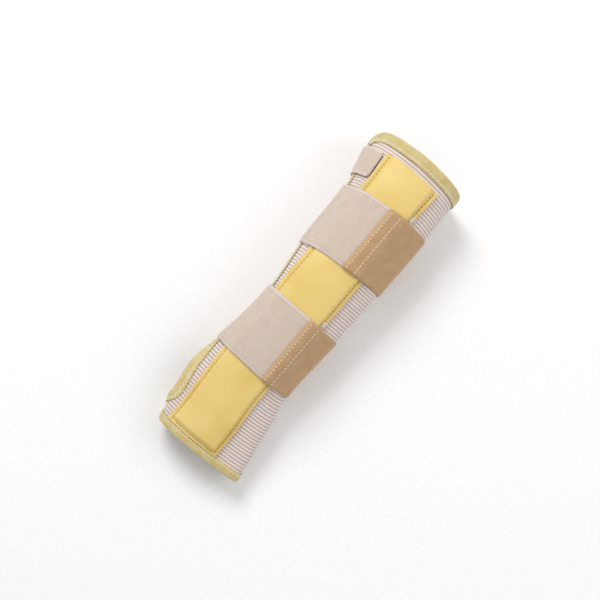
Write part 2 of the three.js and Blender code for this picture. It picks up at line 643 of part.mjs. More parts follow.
const group = new THREE.Group();
group.name = "wrist_splint";
for (const [name, look, solid] of pieces) {
  const { vertProperties, triVerts, numProp } = solid.getMesh();
  const geometry = new THREE.BufferGeometry();
  const count = vertProperties.length / numProp, xyz = new Float32Array(count * 3);
  for (let i = 0; i < count; i++)
    for (let k = 0; k < 3; k++) xyz[i * 3 + k] = vertProperties[i * numProp + k];
  geometry.setAttribute("position", new THREE.BufferAttribute(xyz, 3));
  geometry.setIndex(new THREE.BufferAttribute(new Uint32Array(triVerts), 1));
  geometry.computeVertexNormals();
  const [color, roughness, metalness] = LOOKS[look];
  const mesh = new THREE.Mesh(geometry,
    new THREE.MeshStandardMaterial({ color, roughness, metalness }));
  mesh.name = name;
  group.add(mesh);
}

// the origin is under the middle of the whole, on the floor
const box = new THREE.Box3().setFromObject(group);
const middle = box.getCenter(new THREE.Vector3());
for (const mesh of group.children) mesh.geometry.translate(-middle.x, -middle.y, -box.min.z);

export default group;
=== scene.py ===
# Long wrist splint for a right hand, lying on its back with the palm side up.
# X runs along the stay towards the elbow, +Y to the thumb side, +Z up. Metres.
import json
import math

import bpy
import numpy as np
from mathutils import Matrix, Vector


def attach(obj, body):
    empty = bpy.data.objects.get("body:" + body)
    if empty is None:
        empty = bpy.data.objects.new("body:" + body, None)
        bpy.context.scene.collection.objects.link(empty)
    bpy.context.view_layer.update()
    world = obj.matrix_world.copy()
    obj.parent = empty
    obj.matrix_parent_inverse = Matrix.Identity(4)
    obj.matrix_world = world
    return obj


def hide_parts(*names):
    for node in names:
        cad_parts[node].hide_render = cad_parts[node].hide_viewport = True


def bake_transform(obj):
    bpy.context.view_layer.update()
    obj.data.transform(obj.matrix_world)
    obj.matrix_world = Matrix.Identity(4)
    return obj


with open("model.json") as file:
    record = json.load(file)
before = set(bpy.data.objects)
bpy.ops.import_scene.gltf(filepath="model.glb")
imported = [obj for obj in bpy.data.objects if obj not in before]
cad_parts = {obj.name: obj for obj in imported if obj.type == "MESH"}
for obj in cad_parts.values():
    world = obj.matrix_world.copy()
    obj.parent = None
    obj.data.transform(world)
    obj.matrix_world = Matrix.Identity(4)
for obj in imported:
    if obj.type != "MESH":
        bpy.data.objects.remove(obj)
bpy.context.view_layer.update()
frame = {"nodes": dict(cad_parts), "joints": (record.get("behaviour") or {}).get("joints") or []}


# ---------------------------------------------------------------- knitted sleeve
# Two panels of elastic knit with ribs that run round the arm, white yarn on a skin-coloured
# ground. They are joined down the little finger side and left open down the thumb side.
LEVEL_X, LINE_Z, LINE_R = 147.0, 67.0, 1300.0  # the palm line is an arc, level at the forearm, mm
PALM_X, HEM_X, HEM_SLOPE, HEM_DIP = -149.5, 148.5, 0.6, 4.0  # stations of the two hems
CROWN_R, CROWN_HALF, POCKET_Y = 60.0, 17.0, 3.5
SIDE_DEPTH, FLAT_SHARE, ROUND = 0.5, 0.42, 0.56
RISE_HEM, RISE_ELBOW = HEM_X - 10.5, 36.0  # the back is lifted by the straps between the hems
RISE_END, RISE_PALM = PALM_X + 11.5, 52.0
GIRTHS = np.array([  # station, half width, middle
    [149, 41.2, 4.0], [133, 41.8, 4.2], [94, 37.8, -0.1], [34, 36.4, -0.6], [-9, 33.6, -2.1],
    [-40, 33.2, -0.5], [-72, 35.0, 2.2], [-98, 40.6, 2.4], [-118, 41.4, 0.2],
    [-134, 40.6, -3.2], [-149, 38.8, -6.6]])[::-1]
GAP, KNIT, WEBBING, HOOK, COVER = 0.3, 1.6, 1.2, 1.0, 0.7
ON_KNIT = KNIT / 2 + GAP
TAPE_OUT = 2.0
TAPE_W, HEM_TAPE_W, PALM_TAPE_W = 8.5, 9.0, 6.8  # widths on the slit, forearm and palm hems
CHANNEL, ON_STAY, ON_FOAM = 2.2, 4.1, 5.8  # heights of the pocket's layers over the knit
STRAP_BACK = ON_KNIT + WEBBING + GAP + HOOK + GAP
BASE_HEM, BASE_STRAP = TAPE_OUT, STRAP_BACK + WEBBING + GAP
draw = next(j for j in frame["joints"] if j["name"] == "stay_draw")  # its axis is the arc's centre
MIDDLE = np.array([LEVEL_X - draw["pos_m"][0] * 1000, POCKET_Y - draw["pos_m"][1] * 1000, 0.0])


def ease(v):
    t = np.clip(v, 0, 1)
    return t * t * (3 - 2 * t)


def mix(a, b, t):
    return a + (b - a) * t


def along(x, k):
    """Smooth value of column k of the girth list at stations x."""
    t, v = GIRTHS[:, 0], GIRTHS[:, k]
    last = len(t) - 1
    slope = np.array([(v[min(i + 1, last)] - v[max(i - 1, 0)])
                      / (t[min(i + 1, last)] - t[max(i - 1, 0)]) for i in range(len(t))])
    i = np.clip(np.searchsorted(t, x) - 1, 0, last - 1)
    span = t[i + 1] - t[i]
    s = np.clip((x - t[i]) / span, -0.1, 1.1)
    s2, s3 = s * s, s * s * s
    return ((2 * s3 - 3 * s2 + 1) * v[i] + (s3 - 2 * s2 + s) * span * slope[i]
            + (3 * s2 - 2 * s3) * v[i + 1] + (s3 - s2) * span * slope[i + 1])


def bezier(a, b, c, d, t):
    u = 1 - t
    return [u**3 * p + 3 * u * u * t * q + 3 * u * t * t * r + t**3 * w
            for p, q, r, w in zip(a, b, c, d)]


def skin_point(x, girth):
    """Points of the knit's middle layer, mm. Girth 0 palm, 2 thumb side, 4 back, -2 little finger."""
    x, girth = np.broadcast_arrays(np.asarray(x, float), np.asarray(girth, float))
    turn = np.arcsin((LEVEL_X - x) / LINE_R)
    top = LINE_Z - LINE_R * (1 - np.cos(turn))
    base = mix(BASE_HEM, BASE_STRAP, ease((RISE_HEM - x) / RISE_ELBOW)
               * ease((x - RISE_END) / RISE_PALM))
    depth = (top - base) / np.cos(turn)
    half, mid = along(x, 1), along(x, 2)
    p = (girth + 4) % 8 - 4
    s, m = np.where(p < 0, -1.0, 1.0), np.abs(p)
    e = CROWN_HALF * np.minimum(m, 1)
    crown = (POCKET_Y + s * e, -e * e / (2 * CROWN_R))
    shoulder = (POCKET_Y + s * CROWN_HALF, -CROWN_HALF**2 / (2 * CROWN_R) + 0 * x)
    side = (mid + s * half, -SIDE_DEPTH * depth)
    out, fall = ROUND * np.abs(side[0] - shoulder[0]), CROWN_HALF / CROWN_R
    upper = bezier(shoulder, (shoulder[0] + s * out, shoulder[1] - fall * out),
                   (side[0], side[1] + ROUND * (shoulder[1] - side[1])), side,
                   np.clip(m - 1, 0, 1))
    flat = FLAT_SHARE * half
    heel = (mid + s * flat, -depth)
    lower = bezier(side, (side[0], side[1] - ROUND * (side[1] + depth)),
                   (heel[0] + s * ROUND * (half - flat), -depth), heel, np.clip(m - 2, 0, 1))
    back = (mid + s * flat * (4 - m), -depth)
    y, g = (np.select([m <= 1, m <= 2, m <= 3], [crown[k], upper[k], lower[k]], back[k])
            for k in (0, 1))
    return np.stack([x - g * np.sin(turn), y, top + g * np.cos(turn)], -1)


def tangents(x, girth):
    dx, dg = 0.05, 0.002
    return ((skin_point(x + dx, girth) - skin_point(x - dx, girth)) / (2 * dx),
            (skin_point(x, girth + dg) - skin_point(x, girth - dg)) / (2 * dg))


def outward(x, girth):
    n = np.cross(*tangents(x, girth))
    return n / np.linalg.norm(n, axis=-1, keepdims=True)


def skin(x, girth, height):
    """Points at a height over the knit's middle, in metres in the splint's own frame."""
    p = skin_point(x, girth) + outward(x, girth) * np.asarray(height, float)[..., None]
    return (p - MIDDLE) / 1000


def girth_at(x, across):
    """Girth number at this distance across from the pocket's middle, thumb side positive."""
    x, across = np.broadcast_arrays(np.asarray(x, float), np.asarray(across, float))
    s = np.where(across < 0, -1.0, 1.0)
    lo, hi = np.zeros_like(s), np.full_like(s, 2.0)
    for _ in range(26):
        m = (lo + hi) / 2
        short = s * (skin_point(x, s * m)[..., 1] - POCKET_Y) < np.abs(across)
        lo, hi = np.where(short, m, lo), np.where(short, hi, m)
    return s * (lo + hi) / 2


ARC_GIRTHS = np.arange(-8, 8.01, 0.02)
ARCS = np.concatenate([[0], np.cumsum(np.linalg.norm(np.diff(
    skin_point(0 * ARC_GIRTHS, ARC_GIRTHS), axis=0), axis=1))])


def between(start, end, share):
    """Girths evenly spaced round the arm from start to end."""
    a, b = np.interp(start, ARC_GIRTHS, ARCS), np.interp(end, ARC_GIRTHS, ARCS)
    return np.interp(mix(a, b, share), ARCS, ARC_GIRTHS)


def mesh_from(name, points, faces, uv=None, smooth=True):
    me = bpy.data.meshes.new(name)
    me.from_pydata(np.asarray(points, float).reshape(-1, 3).tolist(), [], faces)
    if uv is not None:
        layer = me.uv_layers.new(name="cloth")
        loops = np.zeros(len(me.loops), np.int32)
        me.loops.foreach_get("vertex_index", loops)
        layer.data.foreach_set("uv", np.asarray(uv, np.float32).reshape(-1, 2)[loops].ravel())
    me.polygons.foreach_set("use_smooth", [smooth] * len(me.polygons))
    me.validate()
    ob = bpy.data.objects.new(name, me)
    bpy.context.scene.collection.objects.link(ob)
    return ob


def cloth(name, x, girth, low, high, uv, keep=None, ring=False):
    """A closed sheet of cloth over a grid of stations and girths, between two heights."""
    n, m = x.shape
    points = np.concatenate([skin(x, girth, high).reshape(-1, 3), skin(x, girth, low).reshape(-1, 3)])
    ids = np.arange(n * m).reshape(n, m)
    cells = np.stack([ids[:-1, :-1], ids[1:, :-1], ids[1:, 1:], ids[:-1, 1:]], -1)
    if ring:
        wrap = np.stack([ids[:-1, -1], ids[1:, -1], ids[1:, 0], ids[:-1, 0]], -1)[:, None]
        cells = np.concatenate([cells, wrap], 1)
    if keep is not None:
        cells = cells[keep]
    cells = cells.reshape(-1, 4)
    c = points[cells[len(cells) // 2]]
    x0, g0 = x.ravel()[cells[len(cells) // 2]].mean(), girth.ravel()[cells[len(cells) // 2]].mean()
    if np.dot(np.cross(c[1] - c[0], c[2] - c[0]), outward(x0, g0)) < 0:
        cells = cells[:, ::-1]
    edges = {}
    for cell in cells.tolist():
        for a, b in zip(cell, cell[1:] + cell[:1]):
            if (b, a) in edges:
                del edges[(b, a)]
            else:
                edges[(a, b)] = 1
    rim = [(b, a, a + n * m, b + n * m) for a, b in edges]
    faces = cells.tolist() + (cells[:, ::-1] + n * m).tolist() + rim
    pair = np.concatenate([uv.reshape(-1, 2)] * 2)
    used = np.unique(np.array([i for f in faces for i in f]))
    back = np.full(len(points), -1)
    back[used] = np.arange(len(used))
    faces = [[int(back[i]) for i in f] for f in faces]
    return mesh_from(name, points[used], faces, pair[used])


def finish(ob, look, body, slot, *nodes):
    """Gives a piece its material and body, and hides the CAD nodes it stands for. The slot is not used.
    """
    ob.data.materials.append(look)
    if body:
        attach(ob, body)
    if nodes:
        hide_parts(*nodes)


def linear(code):
    """sRGB hex to linear colour."""
    c = np.array([int(code[i:i + 2], 16) / 255 for i in (1, 3, 5)])
    return (*np.where(c <= 0.04045, c / 12.92, ((c + 0.055) / 1.055) ** 2.4), 1.0)


def add(tree, kind, links=(), **settings):
    """Adds a node. Settings are its properties; keys in_NAME or in_0 set sockets; links are
    (socket of the new node, output of another)."""
    node = tree.nodes.new(kind)
    for key, value in settings.items():
        if key.startswith("in_"):
            name = key[3:].replace("_", " ")
            node.inputs[int(name) if name.isdigit() else name].default_value = value
        else:
            setattr(node, key, value)
    for socket, source in links:
        tree.links.new(source, node.inputs[socket])
    return node


def material(name):
    m = bpy.data.materials.new(name)
    m.use_nodes = True
    m.node_tree.nodes.clear()
    return m, m.node_tree


def ramp(tree, source, stops):
    node = add(tree, "ShaderNodeValToRGB", [(0, source)])
    while len(node.color_ramp.elements) < len(stops):
        node.color_ramp.elements.new(0.5)
    for e, (at, code) in zip(node.color_ramp.elements, stops):
        e.position, e.color = at, linear(code)
    return node.outputs[0]


def finish_surface(tree, colour, height, depth, **principled):
    """Principled surface with a bump of this depth in metres."""
    bump = add(tree, "ShaderNodeBump", [("Height", height)], in_Strength=1.0, in_Distance=depth)
    shader = add(tree, "ShaderNodeBsdfPrincipled", [("Base Color", colour),
                 ("Normal", bump.outputs[0])], **principled)
    add(tree, "ShaderNodeOutputMaterial", [(0, shader.outputs[0])])
    return shader


def math_node(tree, operation, *values):
    links = [(i, v) for i, v in enumerate(values) if not isinstance(v, (int, float))]
    node = add(tree, "ShaderNodeMath", links, operation=operation)
    for i, v in enumerate(values):
        if isinstance(v, (int, float)):
            node.inputs[i].default_value = v
    return node.outputs[0]


RIB = 2.7  # rib pitch, mm
STITCH = 1.15  # one knit stitch round the arm, mm


def knit_material():
    """Elastic rib knit, polyester over covered rubber: matt, soft, each rib a row of V stitches."""
    m, t = material("elastic_rib_knit")
    uv = add(t, "ShaderNodeUVMap", uv_map="cloth")
    split = add(t, "ShaderNodeSeparateXYZ", [(0, uv.outputs[0])])
    place_ = add(t, "ShaderNodeTexCoord").outputs["Object"]
    wander = add(t, "ShaderNodeTexNoise", [("Vector", place_)], in_Scale=160.0, in_Detail=2.0)
    fuzz = add(t, "ShaderNodeTexNoise", [("Vector", place_)], in_Scale=1400.0, in_Detail=3.0)
    shift = math_node(t, "MULTIPLY_ADD", wander.outputs[0], 0.5, -0.25)
    row = math_node(t, "ADD", split.outputs[1], shift)
    rib = math_node(t, "SINE", math_node(t, "MULTIPLY", row, 2 * math.pi / RIB))
    rib = math_node(t, "POWER", math_node(t, "MULTIPLY_ADD", rib, 0.5, 0.5), 0.7)
    # stitches lean one way on the rib's upper half and the other way on its lower half
    lean = math_node(t, "ABSOLUTE", math_node(t, "SUBTRACT", math_node(
        t, "FRACT", math_node(t, "DIVIDE", row, RIB)), 0.25))
    course = math_node(t, "MULTIPLY_ADD", lean, 0.9, split.outputs[0])
    loop = math_node(t, "SINE", math_node(t, "MULTIPLY", course, 2 * math.pi / STITCH))
    loop = math_node(t, "MULTIPLY_ADD", loop, 0.5, 0.5)
    tone = math_node(t, "ADD", rib, math_node(t, "MULTIPLY_ADD", fuzz.outputs[0], 0.5, -0.25))
    tone = math_node(t, "ADD", tone, math_node(t, "MULTIPLY_ADD", loop, 0.22, -0.11))
    colour = ramp(t, tone, [(0.05, "#c6a797"), (0.30, "#d0b5a9"), (0.55, "#e0d0ca"),
                            (0.90, "#efe7e4")])
    height = math_node(t, "ADD", math_node(t, "MULTIPLY", loop, 0.55),
                       math_node(t, "MULTIPLY", fuzz.outputs[0], 0.6))
    finish_surface(t, colour, height, 0.00035, in_Roughness=0.92, in_Sheen_Weight=0.25,
                   in_Sheen_Roughness=0.5)
    return m


knit = knit_material()
SLIT_HALF, CORNER_X, CORNER_GIRTH, SLIT_END = 1.5, HEM_X - 17.5, 0.7, -72.0
SEAM_GAP, GIRTH_STEP = 0.15, 45.0  # half the gap at the panels' seam and one girth step, mm
THUMB_HOLE = np.array([  # palm edge, web and back edge of the thumb hole, as station and girth
    [-72, 1.967], [-77, 1.955], [-85, 1.87], [-97, 1.79], [-109, 1.74], [-118, 1.71],
    [-124, 1.74], [-127.6, 1.85], [-128.8, 2.02], [-128.2, 2.24], [-125, 2.48], [-118, 2.64],
    [-109, 2.69], [-97, 2.58], [-85, 2.31], [-77, 2.08], [-72, 2.033]])


def slit_step(x):
    return SLIT_HALF / np.linalg.norm(tangents(x, 2 + 0 * np.asarray(x, float))[1], axis=-1)


def smooth_line(points, count, scale):
    """Evenly spaced points on a smooth curve through points; scale makes both columns mm."""
    p = points * scale
    p = np.concatenate([[2 * p[0] - p[1]], p, [2 * p[-1] - p[-2]]])
    out = []
    for i in range(1, len(p) - 2):
        t = np.linspace(0, 1, 24, endpoint=False)[:, None]
        a, b, c, d = p[i - 1:i + 3]
        out.append(0.5 * (2 * b + (c - a) * t + (2 * a - 5 * b + 4 * c - d) * t * t
                          + (3 * b - a - 3 * c + d) * t**3))
    out = np.concatenate(out + [p[-2:-1]])
    s = np.concatenate([[0], np.cumsum(np.linalg.norm(np.diff(out, axis=0), axis=1))])
    at = np.linspace(0, s[-1], count)
    return np.stack([np.interp(at, s, out[:, k]) for k in (0, 1)], -1) / scale


THUMB_HOLE[0, 1], THUMB_HOLE[-1, 1] = 2 - slit_step(SLIT_END), 2 + slit_step(SLIT_END)
thumb_line = smooth_line(THUMB_HOLE, 160, np.array([1, 32.0]))


def hem_x(girth):
    return (HEM_X - HEM_SLOPE * np.minimum(np.abs(girth), 4)
            - HEM_DIP * ease((4 - np.abs(girth)) / 2))


def corner_edge(s, count=24):
    a = np.linspace(0, math.pi / 2, count)
    start, end = 2 + s * CORNER_GIRTH, 2 + s * slit_step(CORNER_X)
    return np.stack([CORNER_X + (hem_x(start) - CORNER_X) * np.cos(a),
                     mix(start, end, np.sin(a))], -1)


def slit_edge(s, count=130):
    x = np.linspace(CORNER_X, SLIT_END, count)
    return np.stack([x, 2 + s * slit_step(x)], -1)


# the open region between the two edges, for each station the girths from palm edge to back edge
half_count = len(thumb_line) // 2
palm_edge = np.concatenate([corner_edge(-1), slit_edge(-1)[1:-1], thumb_line[:half_count]])
back_edge = np.concatenate([corner_edge(1), slit_edge(1)[1:-1], thumb_line[::-1][:half_count]])


def is_open(x, girth):
    low = np.interp(-x, -palm_edge[:, 0], palm_edge[:, 1], right=9)
    high = np.interp(-x, -back_edge[:, 0], back_edge[:, 1], right=-9)
    return (girth > low) & (girth < high)


def knit_panel(name, start):
    rows, cols = 577, 50
    share = np.linspace(0, 1, rows)[:, None]
    seam = SEAM_GAP / GIRTH_STEP
    girth = between(start + seam, start + 4 - seam, np.linspace(0, 1, cols))[None, :]
    wrapped = np.where(girth > 4, girth - 8, girth)
    x = mix(PALM_X, hem_x(wrapped), share)
    girth = np.broadcast_to(girth, x.shape)
    arc = np.interp(girth, ARC_GIRTHS, ARCS)
    # ribs sag a little towards the palm across each panel, as stretched knit does
    sag = 0.8 * np.sin((arc - arc[:, :1]) / 17.0) + 0.5 * np.sin(x / 23.0 + girth)
    v = x + sag
    ridge = (0.5 + 0.5 * np.sin(v * 2 * math.pi / RIB)) ** 0.7
    high = KNIT / 2 - 0.35 + 0.45 * ridge
    cx, cg = (x[:-1, :-1] + x[1:, 1:]) / 2, (girth[:-1, :-1] + girth[1:, 1:]) / 2
    keep = ~is_open(cx, cg)
    ob = cloth(name, x, girth, -high, high, np.stack([arc, v], -1), keep)
    finish(ob, knit, "sleeve", "knit")
    return ob


volar = knit_panel("palm_side_knit", -2.0)
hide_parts("volar_panel")
dorsal = knit_panel("back_side_knit", 2.0)
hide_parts("dorsal_panel")


# ---------------------------------------------------------------- edge bindings
# Yellow elastic tape folded over the knit's edges and held by a zigzag row near its inner edge.
# One length runs round the forearm hem, one down the slit and round the thumb, one at the palm.
FOLD = np.array([[1.0, 1.30], [0.97, 1.74], [0.88, 1.88], [0.76, 1.80], [0.62, 1.92],
                 [0.40, 2.06], [0.15, 2.04], [-0.03, 1.80], [-0.11, 1.30], [-0.14, 0.55]])
FOLD = np.concatenate([FOLD, FOLD[::-1] * [1, -1]])  # share of the width, height in mm
FOLD = np.concatenate([FOLD, [[1.0, -1.18], [0.5, -1.18], [0.08, -1.15], [-0.03, -0.6],
                              [-0.03, 0.6], [0.08, 1.15], [0.5, 1.18], [1.0, 1.18]]])
TAPE_RIB = 0.9  # lengthwise ribs of the tape, mm
ZIGZAG = 1.9  # length of one zigzag stitch along the tape, mm
ZIGZAG_OUT, ZIGZAG_IN = 3.4, 1.0  # its two sides, from the tape's inner edge
TAPE_THREAD = 0.32  # thread radius
THREAD_DROP = 0.19  # the thread lies this deep in the tape
SINK = np.array([-0.35, -0.06, 0.0, -0.06, -0.35])  # heights along one stitch


def tape_material():
    """Elastic knit tape in two yellow yarns: matt, heathered, fine cords along its length."""
    m, t = material("heather_yellow_elastic_tape")
    uv = add(t, "ShaderNodeUVMap", uv_map="cloth")
    split = add(t, "ShaderNodeSeparateXYZ", [(0, uv.outputs[0])])
    yarn_space = add(t, "ShaderNodeMapping", [("Vector", uv.outputs[0])], in_Scale=(0.9, 2.6, 1.0))
    flecks = add(t, "ShaderNodeTexNoise", [("Vector", yarn_space.outputs[0])], in_Scale=1.0,
                 in_Detail=3.0, in_Roughness=0.7)
    broad = add(t, "ShaderNodeTexNoise", [("Vector", uv.outputs[0])], in_Scale=0.12, in_Detail=1.0)
    cords = math_node(t, "SINE", math_node(t, "MULTIPLY", split.outputs[1], 2 * math.pi / TAPE_RIB))
    loops = math_node(t, "SINE", math_node(t, "MULTIPLY", split.outputs[0], 2 * math.pi / 0.9))
    tone = math_node(t, "ADD", flecks.outputs[0], math_node(t, "MULTIPLY", cords, 0.09))
    tone = math_node(t, "ADD", tone, math_node(t, "MULTIPLY_ADD", broad.outputs[0], 0.3, -0.15))
    colour = ramp(t, tone, [(0.28, "#c4a25e"), (0.42, "#e3c97e"), (0.56, "#efda96"),
                            (0.72, "#fbf2cf")])
    height = math_node(t, "ADD", math_node(t, "MULTIPLY", cords, 0.6),
                       math_node(t, "MULTIPLY", loops, 0.25))
    height = math_node(t, "ADD", height, flecks.outputs[0])
    finish_surface(t, colour, height, 0.0003, in_Roughness=0.9, in_Sheen_Weight=0.2)
    return m


def thread_material(name, code, roughness=0.6):
    """Spun polyester thread: slightly glossy, twisted, so its tone wavers along its length."""
    m, t = material(name)
    place_ = add(t, "ShaderNodeTexCoord").outputs["Object"]
    twist = add(t, "ShaderNodeTexNoise", [("Vector", place_)], in_Scale=1800.0, in_Detail=2.0)
    dark = "#" + "".join(f"{int(int(code[i:i + 2], 16) * 0.86):02x}" for i in (1, 3, 5))
    colour = ramp(t, twist.outputs[0], [(0.35, dark), (0.6, code)])
    finish_surface(t, colour, twist.outputs[0], 0.0001, in_Roughness=roughness)
    return m


tape = tape_material()
tape_thread = thread_material("pale_cover_stitch_thread", "#fffbea")


def edge_frames(line, loop):
    """For points [station, girth] on an edge, the steps that lead 1 mm into the knit."""
    before = np.roll(line, 1, 0) if loop else np.concatenate([line[:1], line[:-1]])
    after = np.roll(line, -1, 0) if loop else np.concatenate([line[1:], line[-1:]])
    run = skin_point(after[:, 0], after[:, 1]) - skin_point(before[:, 0], before[:, 1])
    tx, tg = tangents(line[:, 0], line[:, 1])
    inwards = np.cross(np.cross(tx, tg), run)
    inwards /= np.linalg.norm(inwards, axis=-1, keepdims=True)
    xx, xg, gg = (tx * tx).sum(-1), (tx * tg).sum(-1), (tg * tg).sum(-1)
    bx, bg = (inwards * tx).sum(-1), (inwards * tg).sum(-1)
    det = xx * gg - xg * xg
    return (bx * gg - bg * xg) / det, (bg * xx - bx * xg) / det


def resample(line, step, loop):
    p = skin_point(line[:, 0], line[:, 1])
    if loop:
        line, p = np.concatenate([line, line[:1]]), np.concatenate([p, p[:1]])
        line[-1, 1] += 8 * round((line[-2, 1] - line[-1, 1]) / 8)
    s = np.concatenate([[0], np.cumsum(np.linalg.norm(np.diff(p, axis=0), axis=1))])
    count = max(2, int(s[-1] / step))
    at = np.linspace(0, s[-1], count, endpoint=not loop)
    return np.stack([np.interp(at, s, line[:, k]) for k in (0, 1)], -1), at


def binding(name, line, width, loop):
    line, at = resample(line, 1.3, loop)
    dx, dg = edge_frames(line, loop)
    n, k = len(line), len(FOLD)
    pulled = 0.14 * np.sin(at * 2 * math.pi / (2 * ZIGZAG))[:, None] * (FOLD[None, :, 0] > 0.8)
    a = FOLD[None, :, 0] * width + pulled
    b = np.broadcast_to(FOLD[None, :, 1], (n, k))
    points = skin(line[:, :1] + a * dx[:, None], line[:, 1:] + a * dg[:, None], b)
    steps = np.linalg.norm(np.diff(FOLD * [width, 1], axis=0), axis=1)
    round_fold = np.concatenate([[0], np.cumsum(steps)])
    uv = np.stack(np.broadcast_arrays(at[:, None], round_fold[None, :]), -1)
    faces = []
    for i in range(n if loop else n - 1):
        for j in range(k):
            p, q = i * k + j, i * k + (j + 1) % k
            r, s = ((i + 1) % n) * k + (j + 1) % k, ((i + 1) % n) * k + j
            faces.append((p, q, r, s))
    if not loop:
        faces.append(tuple(range(k))[::-1])
        faces.append(tuple((n - 1) * k + j for j in range(k)))
    ob = mesh_from(name, points, faces, uv)
    finish(ob, tape, "sleeve", "tape")
    return ob, float(at[-1] / 1000)


def tube(points, radius, sides=5):
    """Rings of a thin thread along points, closed at both ends."""
    points = np.asarray(points, float)
    run = np.gradient(points, axis=0)
    run /= np.linalg.norm(run, axis=1, keepdims=True) + 1e-12
    up = np.where(np.abs(run[:, 2:]) > 0.9, [[1.0, 0, 0]], [[0, 0, 1.0]])
    a = np.cross(run, up)
    a /= np.linalg.norm(a, axis=1, keepdims=True)
    b = np.cross(run, a)
    turn = np.linspace(0, 2 * math.pi, sides, endpoint=False)
    size = np.full(len(points), radius / 1000)
    size[0] = size[-1] = radius * 0.0005
    rings = (points[:, None] + size[:, None, None] * (a[:, None] * np.cos(turn)[None, :, None]
             + b[:, None] * np.sin(turn)[None, :, None])).reshape(-1, 3)
    n = len(points)
    faces = [(i * sides + j, (i + 1) * sides + j, (i + 1) * sides + (j + 1) % sides,
              i * sides + (j + 1) % sides) for i in range(n - 1) for j in range(sides)]
    faces.append(tuple(range(sides)))
    faces.append(tuple((n - 1) * sides + j for j in range(sides))[::-1])
    return rings, faces


def threads(name, lines, radius, look, body, slot="thread", sides=5):
    """One piece made of many short threads."""
    points, faces, start = [], [], 0
    for line in lines:
        p, f = tube(line, radius, sides)
        points.append(p)
        faces += [tuple(i + start for i in face) for face in f]
        start += len(p)
    ob = mesh_from(name, np.concatenate(points), faces)
    finish(ob, look, body, slot)
    return ob


def zigzag(line, loop, near, far, pitch):
    """Threads that cross the tape to and fro, each sunk at both ends."""
    line, at = resample(line, pitch, loop)
    dx, dg = edge_frames(line, loop)
    ends = np.where(np.arange(len(line)) % 2, near, far)
    out = []
    for i in range(len(line) - 1):
        t = np.array([0.04, 0.2, 0.5, 0.8, 0.96])
        a = mix(ends[i], ends[i + 1], t)
        x = mix(line[i, 0] + a * dx[i], line[i + 1, 0] + a * dx[i + 1], t)
        g = mix(line[i, 1] + a * dg[i], line[i + 1, 1] + a * dg[i + 1], t)
        out.append(skin(x, g, TAPE_OUT - THREAD_DROP + SINK))
    return out


slit_line = np.concatenate([slit_edge(-1)[1:-1], thumb_line, slit_edge(1)[::-1][1:-1]])
hem_girths = between(2 + CORNER_GIRTH - 8, 2 - CORNER_GIRTH, np.linspace(0, 1, 160))
hem_girths = np.where(hem_girths < -4, hem_girths + 8, hem_girths)
hem_line = np.concatenate([corner_edge(1)[::-1][:-1], np.stack([hem_x(hem_girths), hem_girths], -1),
                           corner_edge(-1)[1:]])
hem_line[:, 1] = np.unwrap(hem_line[:, 1], period=8)
palm_girths = between(4, -4, np.linspace(0, 1, 200, endpoint=False))
palm_line = np.stack([0 * palm_girths + PALM_X, palm_girths], -1)
for name, node, line, width, loop in (
        ("forearm_hem_tape", "proximal_binding", hem_line, HEM_TAPE_W, False),
        ("thumb_slit_tape", "thumb_binding", slit_line, TAPE_W, False),
        ("palm_hem_tape", "palm_binding", palm_line, PALM_TAPE_W, True)):
    ob, length = binding(name, line, width, loop)
    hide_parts(node)
    stitches = zigzag(line, loop, width - ZIGZAG_OUT, width - ZIGZAG_IN, ZIGZAG)
    threads(name + "_stitches", stitches, TAPE_THREAD, tape_thread, "sleeve", sides=4)

# seam tape inside the little finger side
SEAM_TAPE_HALF, SEAM_TAPE, TAPE_CLEAR = 5.0, 0.4, 1.0
x = np.linspace(PALM_X + PALM_TAPE_W + TAPE_CLEAR, hem_x(-2) - HEM_TAPE_W - TAPE_CLEAR,
                90)[:, None]
span = np.linalg.norm(tangents(x, -2 + 0 * x)[1], axis=-1)
girth = -2 + np.linspace(-SEAM_TAPE_HALF, SEAM_TAPE_HALF, 7)[None, :] / span
x = np.broadcast_to(x, girth.shape)
ob = cloth("inner_seam_tape", x, girth, 0 * x - ON_KNIT - SEAM_TAPE, 0 * x - ON_KNIT,
           np.stack(np.broadcast_arrays(x, (girth + 2) * span), -1))
finish(ob, tape, "sleeve", "tape", "ulnar_seam_tape")


# ---------------------------------------------------------------- stay pocket
# A long pocket down the palm side: soft yellow leather cloth over thin foam on a woven lining.
# It is stitched near both long edges and across the palm end, and open towards the elbow.
POCKET_MOUTH, POCKET_END, POCKET_SEAM = HEM_X - 20, PALM_X + PALM_TAPE_W + 1, 4.0
PUFF_OUT, PUFF_IN, PUFF_START, PUFF_END = 21.5, 17.0, 0.5, 5.0
POCKET_SHIFT, SHIFT_X, SHIFT_RUN = 2.2, -82.0, 48.0  # it leans to the thumb over the palm
POCKET_HALF, POCKET_HALF_MOUTH, FLARE_X, FLARE = 23.4, 25.0, 96.0, 30.0
COVER_LAP = 1.6  # the cover laps the palm hem's tape


def pocket_mid(x):
    return POCKET_SHIFT * ease(1 - np.abs(x - SHIFT_X) / SHIFT_RUN)


def pocket_half(x):
    return mix(POCKET_HALF, POCKET_HALF_MOUTH, ease((x - FLARE_X) / FLARE))


def cover_low(x, across):
    e = np.abs(across - pocket_mid(x))
    puff = ease((PUFF_OUT - e) / (PUFF_OUT - PUFF_IN))
    return CHANNEL + (ON_FOAM - CHANNEL) * puff * ease((x - POCKET_END + PUFF_START) / PUFF_END)


